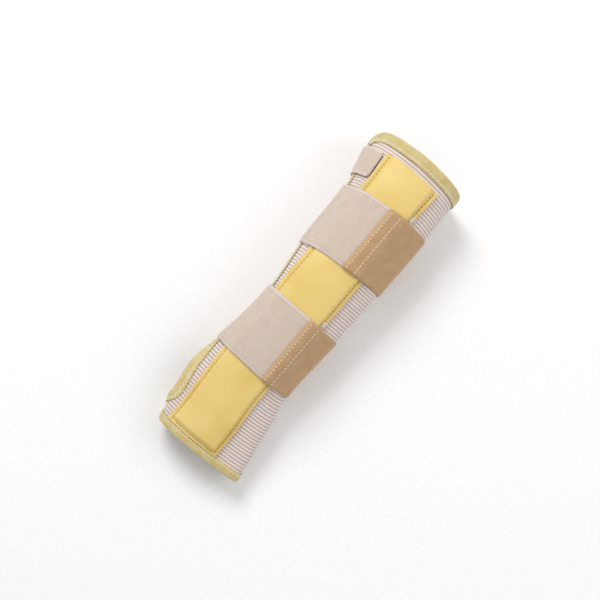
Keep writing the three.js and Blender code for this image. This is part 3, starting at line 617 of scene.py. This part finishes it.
def hide_material():
    """Soft polyurethane leather cloth, embossed with a fine calf grain: satin, even yellow."""
    m, t = material("yellow_leather_cloth")
    place_ = add(t, "ShaderNodeTexCoord").outputs["Object"]
    grain = add(t, "ShaderNodeTexVoronoi", [("Vector", place_)], in_Scale=1300.0,
                feature="DISTANCE_TO_EDGE")
    fine = add(t, "ShaderNodeTexNoise", [("Vector", place_)], in_Scale=2200.0, in_Detail=3.0)
    broad = add(t, "ShaderNodeTexNoise", [("Vector", place_)], in_Scale=28.0, in_Detail=2.0)
    crease = add(t, "ShaderNodeTexNoise", [("Vector", place_)], in_Scale=90.0, in_Detail=3.0)
    tone = math_node(t, "ADD", math_node(t, "MULTIPLY", broad.outputs[0], 0.7),
                     math_node(t, "MULTIPLY", fine.outputs[0], 0.3))
    colour = ramp(t, tone, [(0.30, "#dfbe66"), (0.50, "#e9cb7a"), (0.72, "#efd68c")])
    height = math_node(t, "ADD", math_node(t, "MULTIPLY", grain.outputs[0], 0.8),
                       math_node(t, "MULTIPLY", crease.outputs[0], 1.6))
    rough = math_node(t, "MULTIPLY_ADD", fine.outputs[0], 0.16, 0.38)
    shader = finish_surface(t, colour, height, 0.00016, in_Specular_IOR_Level=0.45)
    t.links.new(rough, shader.inputs["Roughness"])
    return m


hide = hide_material()
hide_thread = thread_material("yellow_bonded_thread", "#bf9a3e", 0.45)
STITCH_IN = 3.0  # stitch line, from the pocket's edge
END_SEAM = 0.5  # stitch line across the palm end, from the hem's tape
PITCH = 3.3  # stitch pitch, mm
HIDE_THREAD = 0.32  # thread radius

rows, cols = 420, 91
x = np.linspace(POCKET_END - COVER_LAP, POCKET_MOUTH, rows)[:, None]
v = np.linspace(-1, 1, cols)[None, :]
v = np.sign(v) * (1 - (1 - np.abs(v)) ** 1.25)
half = pocket_half(x)
edge_wave = 0.25 * np.sin(x / 11.0) + 0.15 * np.sin(x / 4.7)
across = pocket_mid(x) + v * (half + edge_wave * 0.6)
x, across = np.broadcast_arrays(x, across)
to_edge = half + edge_wave * 0.6 - np.abs(across - pocket_mid(x))
low = cover_low(x, across)
pucker = 0.5 + 0.5 * np.cos(x * 2 * math.pi / PITCH)
seam = np.exp(-((to_edge - STITCH_IN) / 0.75) ** 2)
end_seam = np.exp(-((x - POCKET_END - END_SEAM) / 0.75) ** 2) * (to_edge > STITCH_IN)
bead = 0.55 * np.exp(-((to_edge - 1.1) / 0.9) ** 2)
pillow = 0.5 * np.sin(x / 37.0) * ease((to_edge - 6) / 8) + 0.12 * np.sin(x / 5.3 + across / 6.0)
ripple = 0.16 * np.sin(x * 2 * math.pi / (2 * PITCH) + 0.6) * np.exp(-((to_edge - 5.2) / 1.6) ** 2)
high = (low + COVER + bead - seam * (0.30 + 0.22 * pucker)
        - end_seam * 0.35 + ripple + pillow * ease((to_edge - 4) / 5) * 0.5)
high = np.maximum(high, low + 0.25)
uv = np.stack([x, across], -1)
cover = cloth("leather_cloth_cover", x, girth_at(x, across), low, high, uv)
bevel = cover.modifiers.new("turned_edge", "BEVEL")
bevel.width, bevel.segments, bevel.limit_method = 0.00028, 2, "ANGLE"
finish(cover, hide, "sleeve", "hide", "pocket_cover")


def run_stitches(x, across, lift, pitch=PITCH, share=0.68, sink=0.22):
    """Short threads along a line of stations and distances across the pocket."""
    p = skin_point(x, girth_at(x, across))
    s = np.concatenate([[0], np.cumsum(np.linalg.norm(np.diff(p, axis=0), axis=1))])
    out = []
    for k in range(int(s[-1] / pitch)):
        at = (k + np.array([0.5 - share / 2, 0.5 - share * 0.36, 0.5, 0.5 + share * 0.36,
                            0.5 + share / 2])) * pitch
        px, pa = np.interp(at, s, x), np.interp(at, s, across)
        h = lift(px, pa) + np.array([-sink, 0.06, 0.12, 0.06, -sink])
        out.append(skin(px, girth_at(px, pa), h))
    return out


x = np.linspace(POCKET_END + END_SEAM, POCKET_MOUTH - 0.5, 400)
seams = []
for s in (-1, 1):
    line = pocket_mid(x) + s * (pocket_half(x) + 0.15 * np.sin(x / 11.0) - STITCH_IN)
    seams += run_stitches(x, line, lambda a, b: cover_low(a, b) + COVER - 0.30)
across = np.linspace(-(pocket_half(POCKET_END) - 4.5), pocket_half(POCKET_END) - 4.5, 60)
seams += run_stitches(0 * across + POCKET_END + END_SEAM, across,
                      lambda a, b: cover_low(a, b) + COVER - 0.28)
threads("pocket_seam_stitches", seams, HIDE_THREAD, hide_thread, "sleeve")


def woven_material(name, codes, thread_mm, roughness=0.85):
    """Plain weave: warp and weft threads cross at right angles at this spacing."""
    m, t = material(name)
    uv = add(t, "ShaderNodeUVMap", uv_map="cloth")
    split = add(t, "ShaderNodeSeparateXYZ", [(0, uv.outputs[0])])
    warp = math_node(t, "SINE", math_node(t, "MULTIPLY", split.outputs[0], math.pi / thread_mm))
    weft = math_node(t, "SINE", math_node(t, "MULTIPLY", split.outputs[1], math.pi / thread_mm))
    check = math_node(t, "MULTIPLY", warp, weft)
    noise = add(t, "ShaderNodeTexNoise", [("Vector", uv.outputs[0])], in_Scale=1.3, in_Detail=3.0)
    tone = math_node(t, "MULTIPLY_ADD", check, 0.25, noise.outputs[0])
    colour = ramp(t, tone, [(0.25, codes[0]), (0.75, codes[1])])
    finish_surface(t, colour, check, 0.00012, in_Roughness=roughness)
    return m


lining_look = woven_material("woven_cotton_lining", ("#d9cdb0", "#f2ead6"), 0.45)
x = np.linspace(POCKET_END + 0.3, POCKET_MOUTH - 0.6, 160)[:, None]
x, share = np.broadcast_arrays(x, np.linspace(-0.985, 0.985, 25)[None, :])
across = pocket_mid(x) + share * pocket_half(x)
ob = cloth("pocket_lining_cloth", x, girth_at(x, across), 0 * x + ON_KNIT, 0 * x + 1.9,
           np.stack([x, across], -1))
finish(ob, lining_look, "sleeve", "lining", "pocket_lining")


def foam_material():
    """Open polyurethane foam: off-white, matt, with small torn cells."""
    m, t = material("open_cell_foam")
    place_ = add(t, "ShaderNodeTexCoord").outputs["Object"]
    cells = add(t, "ShaderNodeTexVoronoi", [("Vector", place_)], in_Scale=1500.0)
    colour = ramp(t, cells.outputs[0], [(0.1, "#cfc6ae"), (0.5, "#f1ecdd")])
    finish_surface(t, colour, cells.outputs[0], 0.0004, in_Roughness=0.95)
    return m


foam_look = foam_material()
FOAM_HALF, FOAM, FOAM_IN = 14.0, 1.4, 11.0  # half width, thickness, distance from the palm end
x = np.linspace(POCKET_END + FOAM_IN, POCKET_MOUTH - POCKET_SEAM, 120)[:, None]
x, share = np.broadcast_arrays(x, np.linspace(-1, 1, 25)[None, :])
thick = FOAM * np.sqrt(np.clip(1 - np.abs(share) ** 8, 0.04, 1))
ob = cloth("pocket_foam_pad", x, share * FOAM_HALF / CROWN_HALF, 0 * x + ON_STAY, ON_STAY + thick,
           np.stack([x, share * FOAM_HALF], -1))
finish(ob, foam_look, "sleeve", "foam", "pocket_foam")

# stay: rolled aluminium strip with dipped ends, from the frame as it is


def strip_material():
    """Rolled aluminium strip: fine lines along the roll, soft sheen."""
    m, t = material("rolled_aluminium_strip")
    place_ = add(t, "ShaderNodeTexCoord").outputs["Object"]
    drawn = add(t, "ShaderNodeMapping", [("Vector", place_)], in_Scale=(30.0, 2600.0, 30.0))
    lines = add(t, "ShaderNodeTexNoise", [("Vector", drawn.outputs[0])], in_Scale=1.0,
                in_Detail=3.0)
    colour = ramp(t, lines.outputs[0], [(0.3, "#b9bcc0"), (0.7, "#dcdee0")])
    shader = finish_surface(t, colour, lines.outputs[0], 0.00004, in_Metallic=1.0)
    t.links.new(math_node(t, "MULTIPLY_ADD", lines.outputs[0], 0.2, 0.25),
                shader.inputs["Roughness"])
    return m


def dip_material():
    """Dipped vinyl: thick, soft white skin with a faint orange peel."""
    m, t = material("dipped_vinyl")
    place_ = add(t, "ShaderNodeTexCoord").outputs["Object"]
    peel = add(t, "ShaderNodeTexNoise", [("Vector", place_)], in_Scale=420.0, in_Detail=2.0)
    colour = ramp(t, peel.outputs[0], [(0.3, "#e9e7df"), (0.7, "#f6f5ef")])
    finish_surface(t, colour, peel.outputs[0], 0.0002, in_Roughness=0.45)
    return m


def repaint(node, look):
    ob = frame["nodes"][node]
    ob.data.materials.clear()
    ob.data.materials.append(look)


dip = dip_material()
repaint("stay_blade", strip_material())
repaint("stay_palm_tip", dip)
repaint("stay_elbow_tip", dip)


# ---------------------------------------------------------------- wrap straps
# Two 60 mm straps cross the palm side. The thumb side is brushed loop cloth that wraps round the
# slit to a hook patch on the back; the little finger side is tan elastic, its folded edge lapped
# over the cloth and sewn down with two rows of white stitches.
STRAP_W, SEAM_LAP = 60.0, 11.0
SEW_END, FREE_FROM, FREE_TO, HOOK_FROM = 3.25, 2.62, 4.62, 3.35  # girth numbers
STRAP_SETTLE, TAPE_SETTLE = 6.0, 5.0  # a cloth comes down to the knit over these lengths
LAP_ROWS, LAP_PITCH, LAP_THREAD = (2.4, 9.0), 3.2, 0.36  # two rows of stitches through the lap
TURNED, TURNED_TO = 0.5, 11.5  # the elastic's turned-under end: extra thickness and width
STRAPS = ({"name": "upper_strap", "x": 64.0, "lean": -0.085, "edge": -3.8},
          {"name": "lower_strap", "x": -42.5, "lean": 0.035, "edge": -10.6})


def slit_room(x, girth):
    """Height of a cloth that rides over the tape beside the slit and settles on the knit."""
    steps = np.maximum(np.maximum(np.interp(x, *palm_edge[::-1].T) - girth,
                                  girth - np.interp(x, *back_edge[::-1].T)), 0)
    past = steps * np.linalg.norm(tangents(x, 2 + 0 * x)[1], axis=-1) - TAPE_W - 1
    return mix(TAPE_OUT + 1.4 * GAP, ON_KNIT, ease(past / TAPE_SETTLE))


def strap_low(x, girth):
    g = np.clip(girth, -2, 2)
    e = np.abs(skin_point(x, g)[..., 1] - POCKET_Y - pocket_mid(x))
    crest, brim = ON_FOAM + COVER + 2 * GAP, CHANNEL + COVER + 2 * GAP
    rim = pocket_half(x) + 2 * GAP
    low = np.where(e < PUFF_IN, crest,
                   np.where(e < rim, mix(crest, brim, (e - PUFF_IN) / (rim - PUFF_IN)),
                            mix(brim, ON_KNIT, ease((e - rim) / STRAP_SETTLE))))
    slit = slit_room(x, girth)
    low = np.where(girth > 0, np.maximum(low, slit), low)
    return np.where(girth > 1.75, slit, np.where(np.abs(girth) >= 2, ON_KNIT, low))


def strap_x(s, girth, v):
    return s["x"] + s["lean"] * skin_point(s["x"] + 0 * girth, girth)[..., 1] + (v - 0.5) * STRAP_W


SELVEDGE = 3.2  # woven edge of the loop cloth, mm


def loop_material():
    """Brushed nylon loop cloth, skin beige: matt nap with soft mottling, flat woven edges."""
    m, t = material("brushed_loop_cloth")
    uv = add(t, "ShaderNodeUVMap", uv_map="cloth")
    split = add(t, "ShaderNodeSeparateXYZ", [(0, uv.outputs[0])])
    place_ = add(t, "ShaderNodeTexCoord").outputs["Object"]
    nap = add(t, "ShaderNodeTexNoise", [("Vector", place_)], in_Scale=1500.0, in_Detail=4.0,
              in_Roughness=0.65)
    mottle = add(t, "ShaderNodeTexNoise", [("Vector", place_)], in_Scale=150.0, in_Detail=2.0)
    pick = math_node(t, "SINE", math_node(t, "MULTIPLY", split.outputs[0], 2 * math.pi / 0.9))
    tone = math_node(t, "ADD", math_node(t, "MULTIPLY", nap.outputs[0], 0.8),
                     math_node(t, "MULTIPLY", mottle.outputs[0], 0.2))
    napped = ramp(t, tone, [(0.30, "#c3b0a0"), (0.5, "#d0bdae"), (0.70, "#dbcbbd")])
    # the woven edge is smoother and paler, with a thin line where the nap begins
    out = math_node(t, "ABSOLUTE", split.outputs[1])
    edge = math_node(t, "GREATER_THAN", out, STRAP_W / 2 - SELVEDGE)
    line = math_node(t, "MULTIPLY", edge, math_node(t, "LESS_THAN", out,
                                                     STRAP_W / 2 - SELVEDGE + 0.5))
    woven = ramp(t, nap.outputs[0], [(0.3, "#d6c4b8"), (0.7, "#e4d6cc")])
    colour = add(t, "ShaderNodeMix", [(0, edge), (6, napped), (7, woven)], data_type="RGBA")
    dark = add(t, "ShaderNodeMix", [(0, line), (6, colour.outputs[2])], data_type="RGBA")
    dark.inputs[7].default_value = linear("#c8b5a6")
    weave = math_node(t, "MULTIPLY", edge, math_node(t, "MULTIPLY", pick, 0.35))
    height = math_node(t, "ADD", math_node(t, "MULTIPLY", nap.outputs[0], 0.6), weave)
    finish_surface(t, dark.outputs[2], height, 0.0003, in_Roughness=0.95, in_Sheen_Weight=0.35,
                   in_Sheen_Roughness=0.4)
    return m


def elastic_material():
    """Woven elastic in tan: close cords along the strap with fine filling threads across."""
    m, t = material("tan_woven_elastic")
    uv = add(t, "ShaderNodeUVMap", uv_map="cloth")
    split = add(t, "ShaderNodeSeparateXYZ", [(0, uv.outputs[0])])
    cord = math_node(t, "SINE", math_node(t, "MULTIPLY", split.outputs[1], 2 * math.pi / 1.1))
    pick = math_node(t, "SINE", math_node(t, "MULTIPLY", split.outputs[0], 2 * math.pi / 0.8))
    weave = math_node(t, "MULTIPLY", cord, pick)
    fuzz = add(t, "ShaderNodeTexNoise", [("Vector", uv.outputs[0])], in_Scale=1.8, in_Detail=3.0)
    broad = add(t, "ShaderNodeTexNoise", [("Vector", uv.outputs[0])], in_Scale=0.1, in_Detail=2.0)
    tone = math_node(t, "MULTIPLY_ADD", weave, 0.12, fuzz.outputs[0])
    tone = math_node(t, "ADD", tone, math_node(t, "MULTIPLY_ADD", broad.outputs[0], 0.4, -0.2))
    body = ramp(t, tone, [(0.25, "#b28b60"), (0.5, "#c29b70"), (0.75, "#d1ac82")])
    # a lighter tan, the painted highlight of the rounded folded edge
    fold_highlight = ramp(t, fuzz.outputs[0], [(0.3, "#cda570"), (0.7, "#dab582")])
    # painted highlight: the elastic is paler over its first 2.6 mm from the folded edge, where the
    # rounded fold catches the light; U is the distance from the fold
    near = add(t, "ShaderNodeMapRange", [(0, split.outputs[0])], interpolation_type="SMOOTHSTEP")
    for k, value in enumerate((1.0, 2.6, 1.0, 0.0), 1):
        near.inputs[k].default_value = value
    pale = add(t, "ShaderNodeMix", [(0, near.outputs[0]), (6, body), (7, fold_highlight)],
               data_type="RGBA")
    colour = pale.outputs[2]
    height = math_node(t, "ADD", math_node(t, "MULTIPLY", cord, 0.35),
                       math_node(t, "MULTIPLY", weave, 0.4))
    finish_surface(t, colour, height, 0.0002, in_Roughness=0.8, in_Sheen_Weight=0.2)
    return m


def hook_material():
    """Moulded nylon hook tape: rows of tiny stiff hooks on a woven base."""
    m, t = material("nylon_hook_tape")
    uv = add(t, "ShaderNodeUVMap", uv_map="cloth")
    spots = add(t, "ShaderNodeTexVoronoi", [("Vector", uv.outputs[0])], in_Scale=0.9,
                in_Randomness=0.35)
    colour = ramp(t, spots.outputs[0], [(0.1, "#f1ece4"), (0.6, "#cdbfb0")])
    height = math_node(t, "SUBTRACT", 1.0, spots.outputs[0])
    finish_surface(t, colour, height, 0.0008, in_Roughness=0.55)
    return m


loop_look, elastic_look, hook_look = loop_material(), elastic_material(), hook_material()
white_thread = thread_material("white_topstitch_thread", "#fffaf0", 0.5)


def wrap(girth):
    return (np.asarray(girth) + 4) % 8 - 4


def strap_grid(s, start, end, count, across=33, inset=0.0):
    girth = between(start, end, np.linspace(0, 1, count))[:, None]
    v = np.linspace(inset, 1 - inset, across)[None, :]
    girth, v = np.broadcast_arrays(girth, v)
    return strap_x(s, wrap(girth), v), girth, v, np.interp(girth, ARC_GIRTHS, ARCS)


def soft_edge(v, width, thick):
    """Thickness across a cloth, thinner towards both woven edges."""
    e = np.minimum(v, 1 - v) * width
    return thick * np.sqrt(np.clip(1 - (1 - np.clip(e / 0.9, 0, 1)) ** 2, 0.12, 1))


def run_length(x, girth, height):
    """Length of a cloth along its middle line, metres."""
    k = x.shape[1] // 2
    line = skin(x[:, k], wrap(girth[:, k]), height[:, k])
    return float(np.linalg.norm(np.diff(line, axis=0), axis=1).sum())


for s in STRAPS:
    inner = float(girth_at(s["x"], s["edge"] - SEAM_LAP))
    lap_start = float(girth_at(s["x"], s["edge"]))
    # beige cloth: front and free end in one length
    x, girth, v, arc = strap_grid(s, inner, FREE_TO, 190, 41)
    free = ease((girth - FREE_FROM) / 0.5)
    low = np.where(girth < FREE_FROM, strap_low(x, np.minimum(girth, FREE_FROM)),
                   mix(ON_KNIT, STRAP_BACK, free))
    wave = 0.10 * np.sin(arc / 6.0 + v * 4) + 0.08 * np.sin(arc / 2.9 - v * 7)
    woven = (np.minimum(v, 1 - v) * STRAP_W < SELVEDGE) * 0.12
    x = x + (v - 0.5) * 0.5 * np.sin(arc / 9.0)
    high = low + soft_edge(v, STRAP_W, WEBBING) + wave * 0.5 * (free < 0.5) - woven
    uv = np.stack([arc, (v - 0.5) * STRAP_W], -1)
    ob = cloth(s["name"] + "_loop_cloth", x, wrap(girth), low, high, uv)
    finish(ob, loop_look, None, "loop", s["name"] + "_front", s["name"] + "_end")
    run_length(x, girth, low)
    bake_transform(ob)
    # hook patch under the free end
    x, girth, v, arc = strap_grid(s, HOOK_FROM, FREE_TO - 0.04, 60, 25, 0.05)
    ob = cloth(s["name"] + "_hook_patch", x, wrap(girth), 0 * x + STRAP_BACK - GAP - HOOK,
               0 * x + STRAP_BACK - GAP, np.stack([arc, v * STRAP_W], -1))
    finish(ob, hook_look, s["name"] + "_free_end", "hook", s["name"] + "_hook")
    # tan elastic, folded at its palm edge
    x, girth, v, arc = strap_grid(s, lap_start, SEW_END - 8, 230, 41)
    past = np.interp(lap_start, ARC_GIRTHS, ARCS) - arc
    fold = TURNED_TO - past
    lift = (WEBBING + GAP) * (1 - ease((past - SEAM_LAP - 1) / 4))
    low = strap_low(x, wrap(girth)) + lift
    row = sum(np.exp(-((past - at) / 0.8) ** 2) for at in LAP_ROWS)
    turned = TURNED * ease(fold / 1.5)
    round_nose = np.sqrt(np.clip(1 - (1 - np.clip(past / 0.9, 0, 1)) ** 2, 0.1, 1))
    high = low + soft_edge(v, STRAP_W, WEBBING) * round_nose + turned * round_nose
    high = high - 0.35 * row * (0.6 + 0.4 * np.cos(v * STRAP_W * 2 * math.pi / LAP_PITCH))
    high = np.maximum(high, low + 0.2) + 0.04 * np.sin(arc / 3.1 + 5 * v)
    ob = cloth(s["name"] + "_tan_elastic", x, wrap(girth), low, high,
               np.stack([past, (v - 0.5) * STRAP_W], -1))
    finish(ob, elastic_look, "sleeve", "elastic", s["name"] + "_elastic")
    run_length(x, girth, low)
    # two rows of white stitches through the lap
    rows_of = []
    for at in LAP_ROWS:
        g = np.interp(np.interp(lap_start, ARC_GIRTHS, ARCS) - at, ARCS, ARC_GIRTHS)
        for k in range(int(STRAP_W / LAP_PITCH)):
            t = (k + np.array([0.18, 0.3, 0.5, 0.7, 0.82])) * LAP_PITCH / STRAP_W + 0.01
            px = strap_x(s, g + 0 * t, t)
            h = (strap_low(px, g + 0 * t) + WEBBING + GAP + WEBBING + TURNED - 0.30
                 + np.array([-0.35, 0.02, 0.10, 0.02, -0.35]))
            rows_of.append(skin(px, g + 0 * t, h))
    threads(s["name"] + "_topstitching", rows_of, LAP_THREAD, white_thread, "sleeve")


# ---------------------------------------------------------------- bar tacks
# A close zigzag of white thread at the pocket's little finger edge, just above each strap.
TACK_Y, TACK_OFF, TACK_LONG, TACK_HALF, TACK_THREAD = 1.8 - POCKET_HALF, 1.0, 5.0, 1.4, 0.3
for s, node in zip(STRAPS, ("upper_bartack", "lower_bartack")):
    start = float(strap_x(s, girth_at(s["x"], TACK_Y), 1.0)) + TACK_OFF
    t = np.linspace(0, 1, 60)
    px = start + TACK_LONG * t
    pa = TACK_Y + TACK_HALF * np.sign(np.sin(t * math.pi * 14 + 1e-6)) * np.abs(
        np.sin(t * math.pi * 14)) ** 0.4
    h = cover_low(px, pa) + COVER + 0.35 + 0.25 * np.cos(t * math.pi * 14)
    ob = threads(node + "_thread", [skin(px, girth_at(px, pa), h)], TACK_THREAD, white_thread, "sleeve",
                 sides=6)
    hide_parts(node)


# ---------------------------------------------------------------- closing tab
# A 25 mm tab of the loop cloth, sewn to the back beside the slit. It crosses the slit below the
# forearm hem and its round-cornered end holds to the knit beside the pocket by a hook patch.
TAB_X, TAB_W, TAB_TIP, TAB_HINGE, TAB_ROOT, TAB_CLIP = HEM_X - 33.5, 25.0, 25.8, 2.12, 2.8, 4.0
TAB_ROOM = ON_KNIT + HOOK + GAP
tip = float(girth_at(TAB_X, TAB_TIP))
v = np.linspace(0, 1, 33)[None, :]
u = np.linspace(0, 1, 90)[:, None]
u, v = np.broadcast_arrays(u, v)
x = TAB_X + (v - 0.5) * TAB_W
cut = TAB_CLIP * (1 - np.sqrt(1 - np.clip(1 - np.minimum(v, 1 - v) * TAB_W / TAB_CLIP, 0, 1)**2))
span_tip = np.linalg.norm(tangents(x, tip + 0 * x)[1], axis=-1)
girth = mix(TAB_ROOT, tip + cut / span_tip, u)
low = np.maximum(np.where(girth > TAB_HINGE, mix(TAB_ROOM, slit_room(x, girth), ease(
    (girth - TAB_HINGE) / 0.2)), TAB_ROOM), slit_room(x, girth))
arc = np.interp(girth, ARC_GIRTHS, ARCS)
edge = np.minimum(np.minimum(v, 1 - v) * TAB_W, (girth - girth[-1:]) * span_tip)
high = low + WEBBING * np.sqrt(np.clip(1 - (1 - np.clip(edge / 0.8, 0, 1)) ** 2, 0.15, 1))
high = high + 0.1 * np.sin(arc / 3.0 + 4 * v)
from_edge = STRAP_W / 2 - np.minimum(v, 1 - v) * TAB_W
tab = cloth("tab_loop_cloth", x, girth, low, high, np.stack([arc, from_edge], -1))
finish(tab, loop_look, None, "loop", "top_tab_base", "top_tab_end")
run_length(x, girth, low)
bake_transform(tab)
near = float(girth_at(TAB_X, TAB_TIP + TAB_CLIP))
x = TAB_X + np.linspace(-0.4, 0.4, 21)[None, :] * TAB_W
far = 2 - (TAPE_W + 2 * SLIT_HALF + 3) / np.linalg.norm(tangents(x, 2 + 0 * x)[1], axis=-1)
girth = mix(near, far, np.linspace(0, 1, 15)[:, None])
x = np.broadcast_to(x, girth.shape)
patch = cloth("tab_hook_patch", x, girth, 0 * x + ON_KNIT, 0 * x + ON_KNIT + HOOK,
              np.stack([np.interp(girth, ARC_GIRTHS, ARCS), x], -1))
finish(patch, hook_look, "tab_free_end", "hook", "top_tab_hook")


# ---------------------------------------------------------------- floor, light, camera
# A pale studio floor, one large soft key from the thumb side and a weak fill.
bpy.ops.object.select_all(action="DESELECT")
bpy.ops.mesh.primitive_plane_add(size=6, location=(0, 0, -0.0002))
floor = bpy.context.object
floor.name = "studio_floor"
paper, t = material("white_backdrop_paper")
fibre = add(t, "ShaderNodeTexNoise", [("Vector", add(t, "ShaderNodeTexCoord").outputs["Object"])],
            in_Scale=300.0)
finish_surface(t, ramp(t, fibre.outputs[0], [(0.3, "#fafafa"), (0.7, "#ffffff")]),
               fibre.outputs[0], 0.00002, in_Roughness=0.9)
floor.data.materials.append(paper)

ALONG_ANGLE = math.radians(49.65)  # the stay's line across the view, from level
TILT = math.radians(8.0)  # the camera leans towards the palm end
DISTANCE, WIDE = 1.25, 0.480
back = Vector((-math.sin(TILT), 0, math.cos(TILT)))
right = Vector((math.cos(ALONG_ANGLE), -math.sin(ALONG_ANGLE), 0))
right = (right - back * right.dot(back)).normalized()
up = back.cross(right)
aim = Vector((-0.0033, -0.0006, 0.040)) - right * 0.0056 + up * 0.0056
camera = bpy.data.objects.new("camera", bpy.data.cameras.new("camera"))
bpy.context.scene.collection.objects.link(camera)
camera.matrix_world = Matrix.Translation(aim + back * DISTANCE) @ Matrix(
    (right, up, back)).transposed().to_4x4()
camera.data.sensor_width = 36
camera.data.lens = 36 * DISTANCE / WIDE
bpy.context.scene.camera = camera

world = bpy.data.worlds.new("studio")
bpy.context.scene.world = world
world.use_nodes = True
world.node_tree.nodes["Background"].inputs[0].default_value = (1, 1, 1, 1)
world.node_tree.nodes["Background"].inputs[1].default_value = 0.55


def lamp(name, place, size, power):
    data = bpy.data.lights.new(name, "AREA")
    data.shape, data.size, data.energy = "DISK", size, power
    ob = bpy.data.objects.new(name, data)
    bpy.context.scene.collection.objects.link(ob)
    ob.location = place
    ob.rotation_euler = (Vector((0, 0, 0.03)) - Vector(place)).to_track_quat("-Z", "Y").to_euler()


lamp("key", (0.5, 1.0, 1.3), 0.8, 15)
lamp("fill", (0.5, -1.1, 1.2), 1.4, 6)
bpy.context.scene.view_settings.view_transform = "Standard"
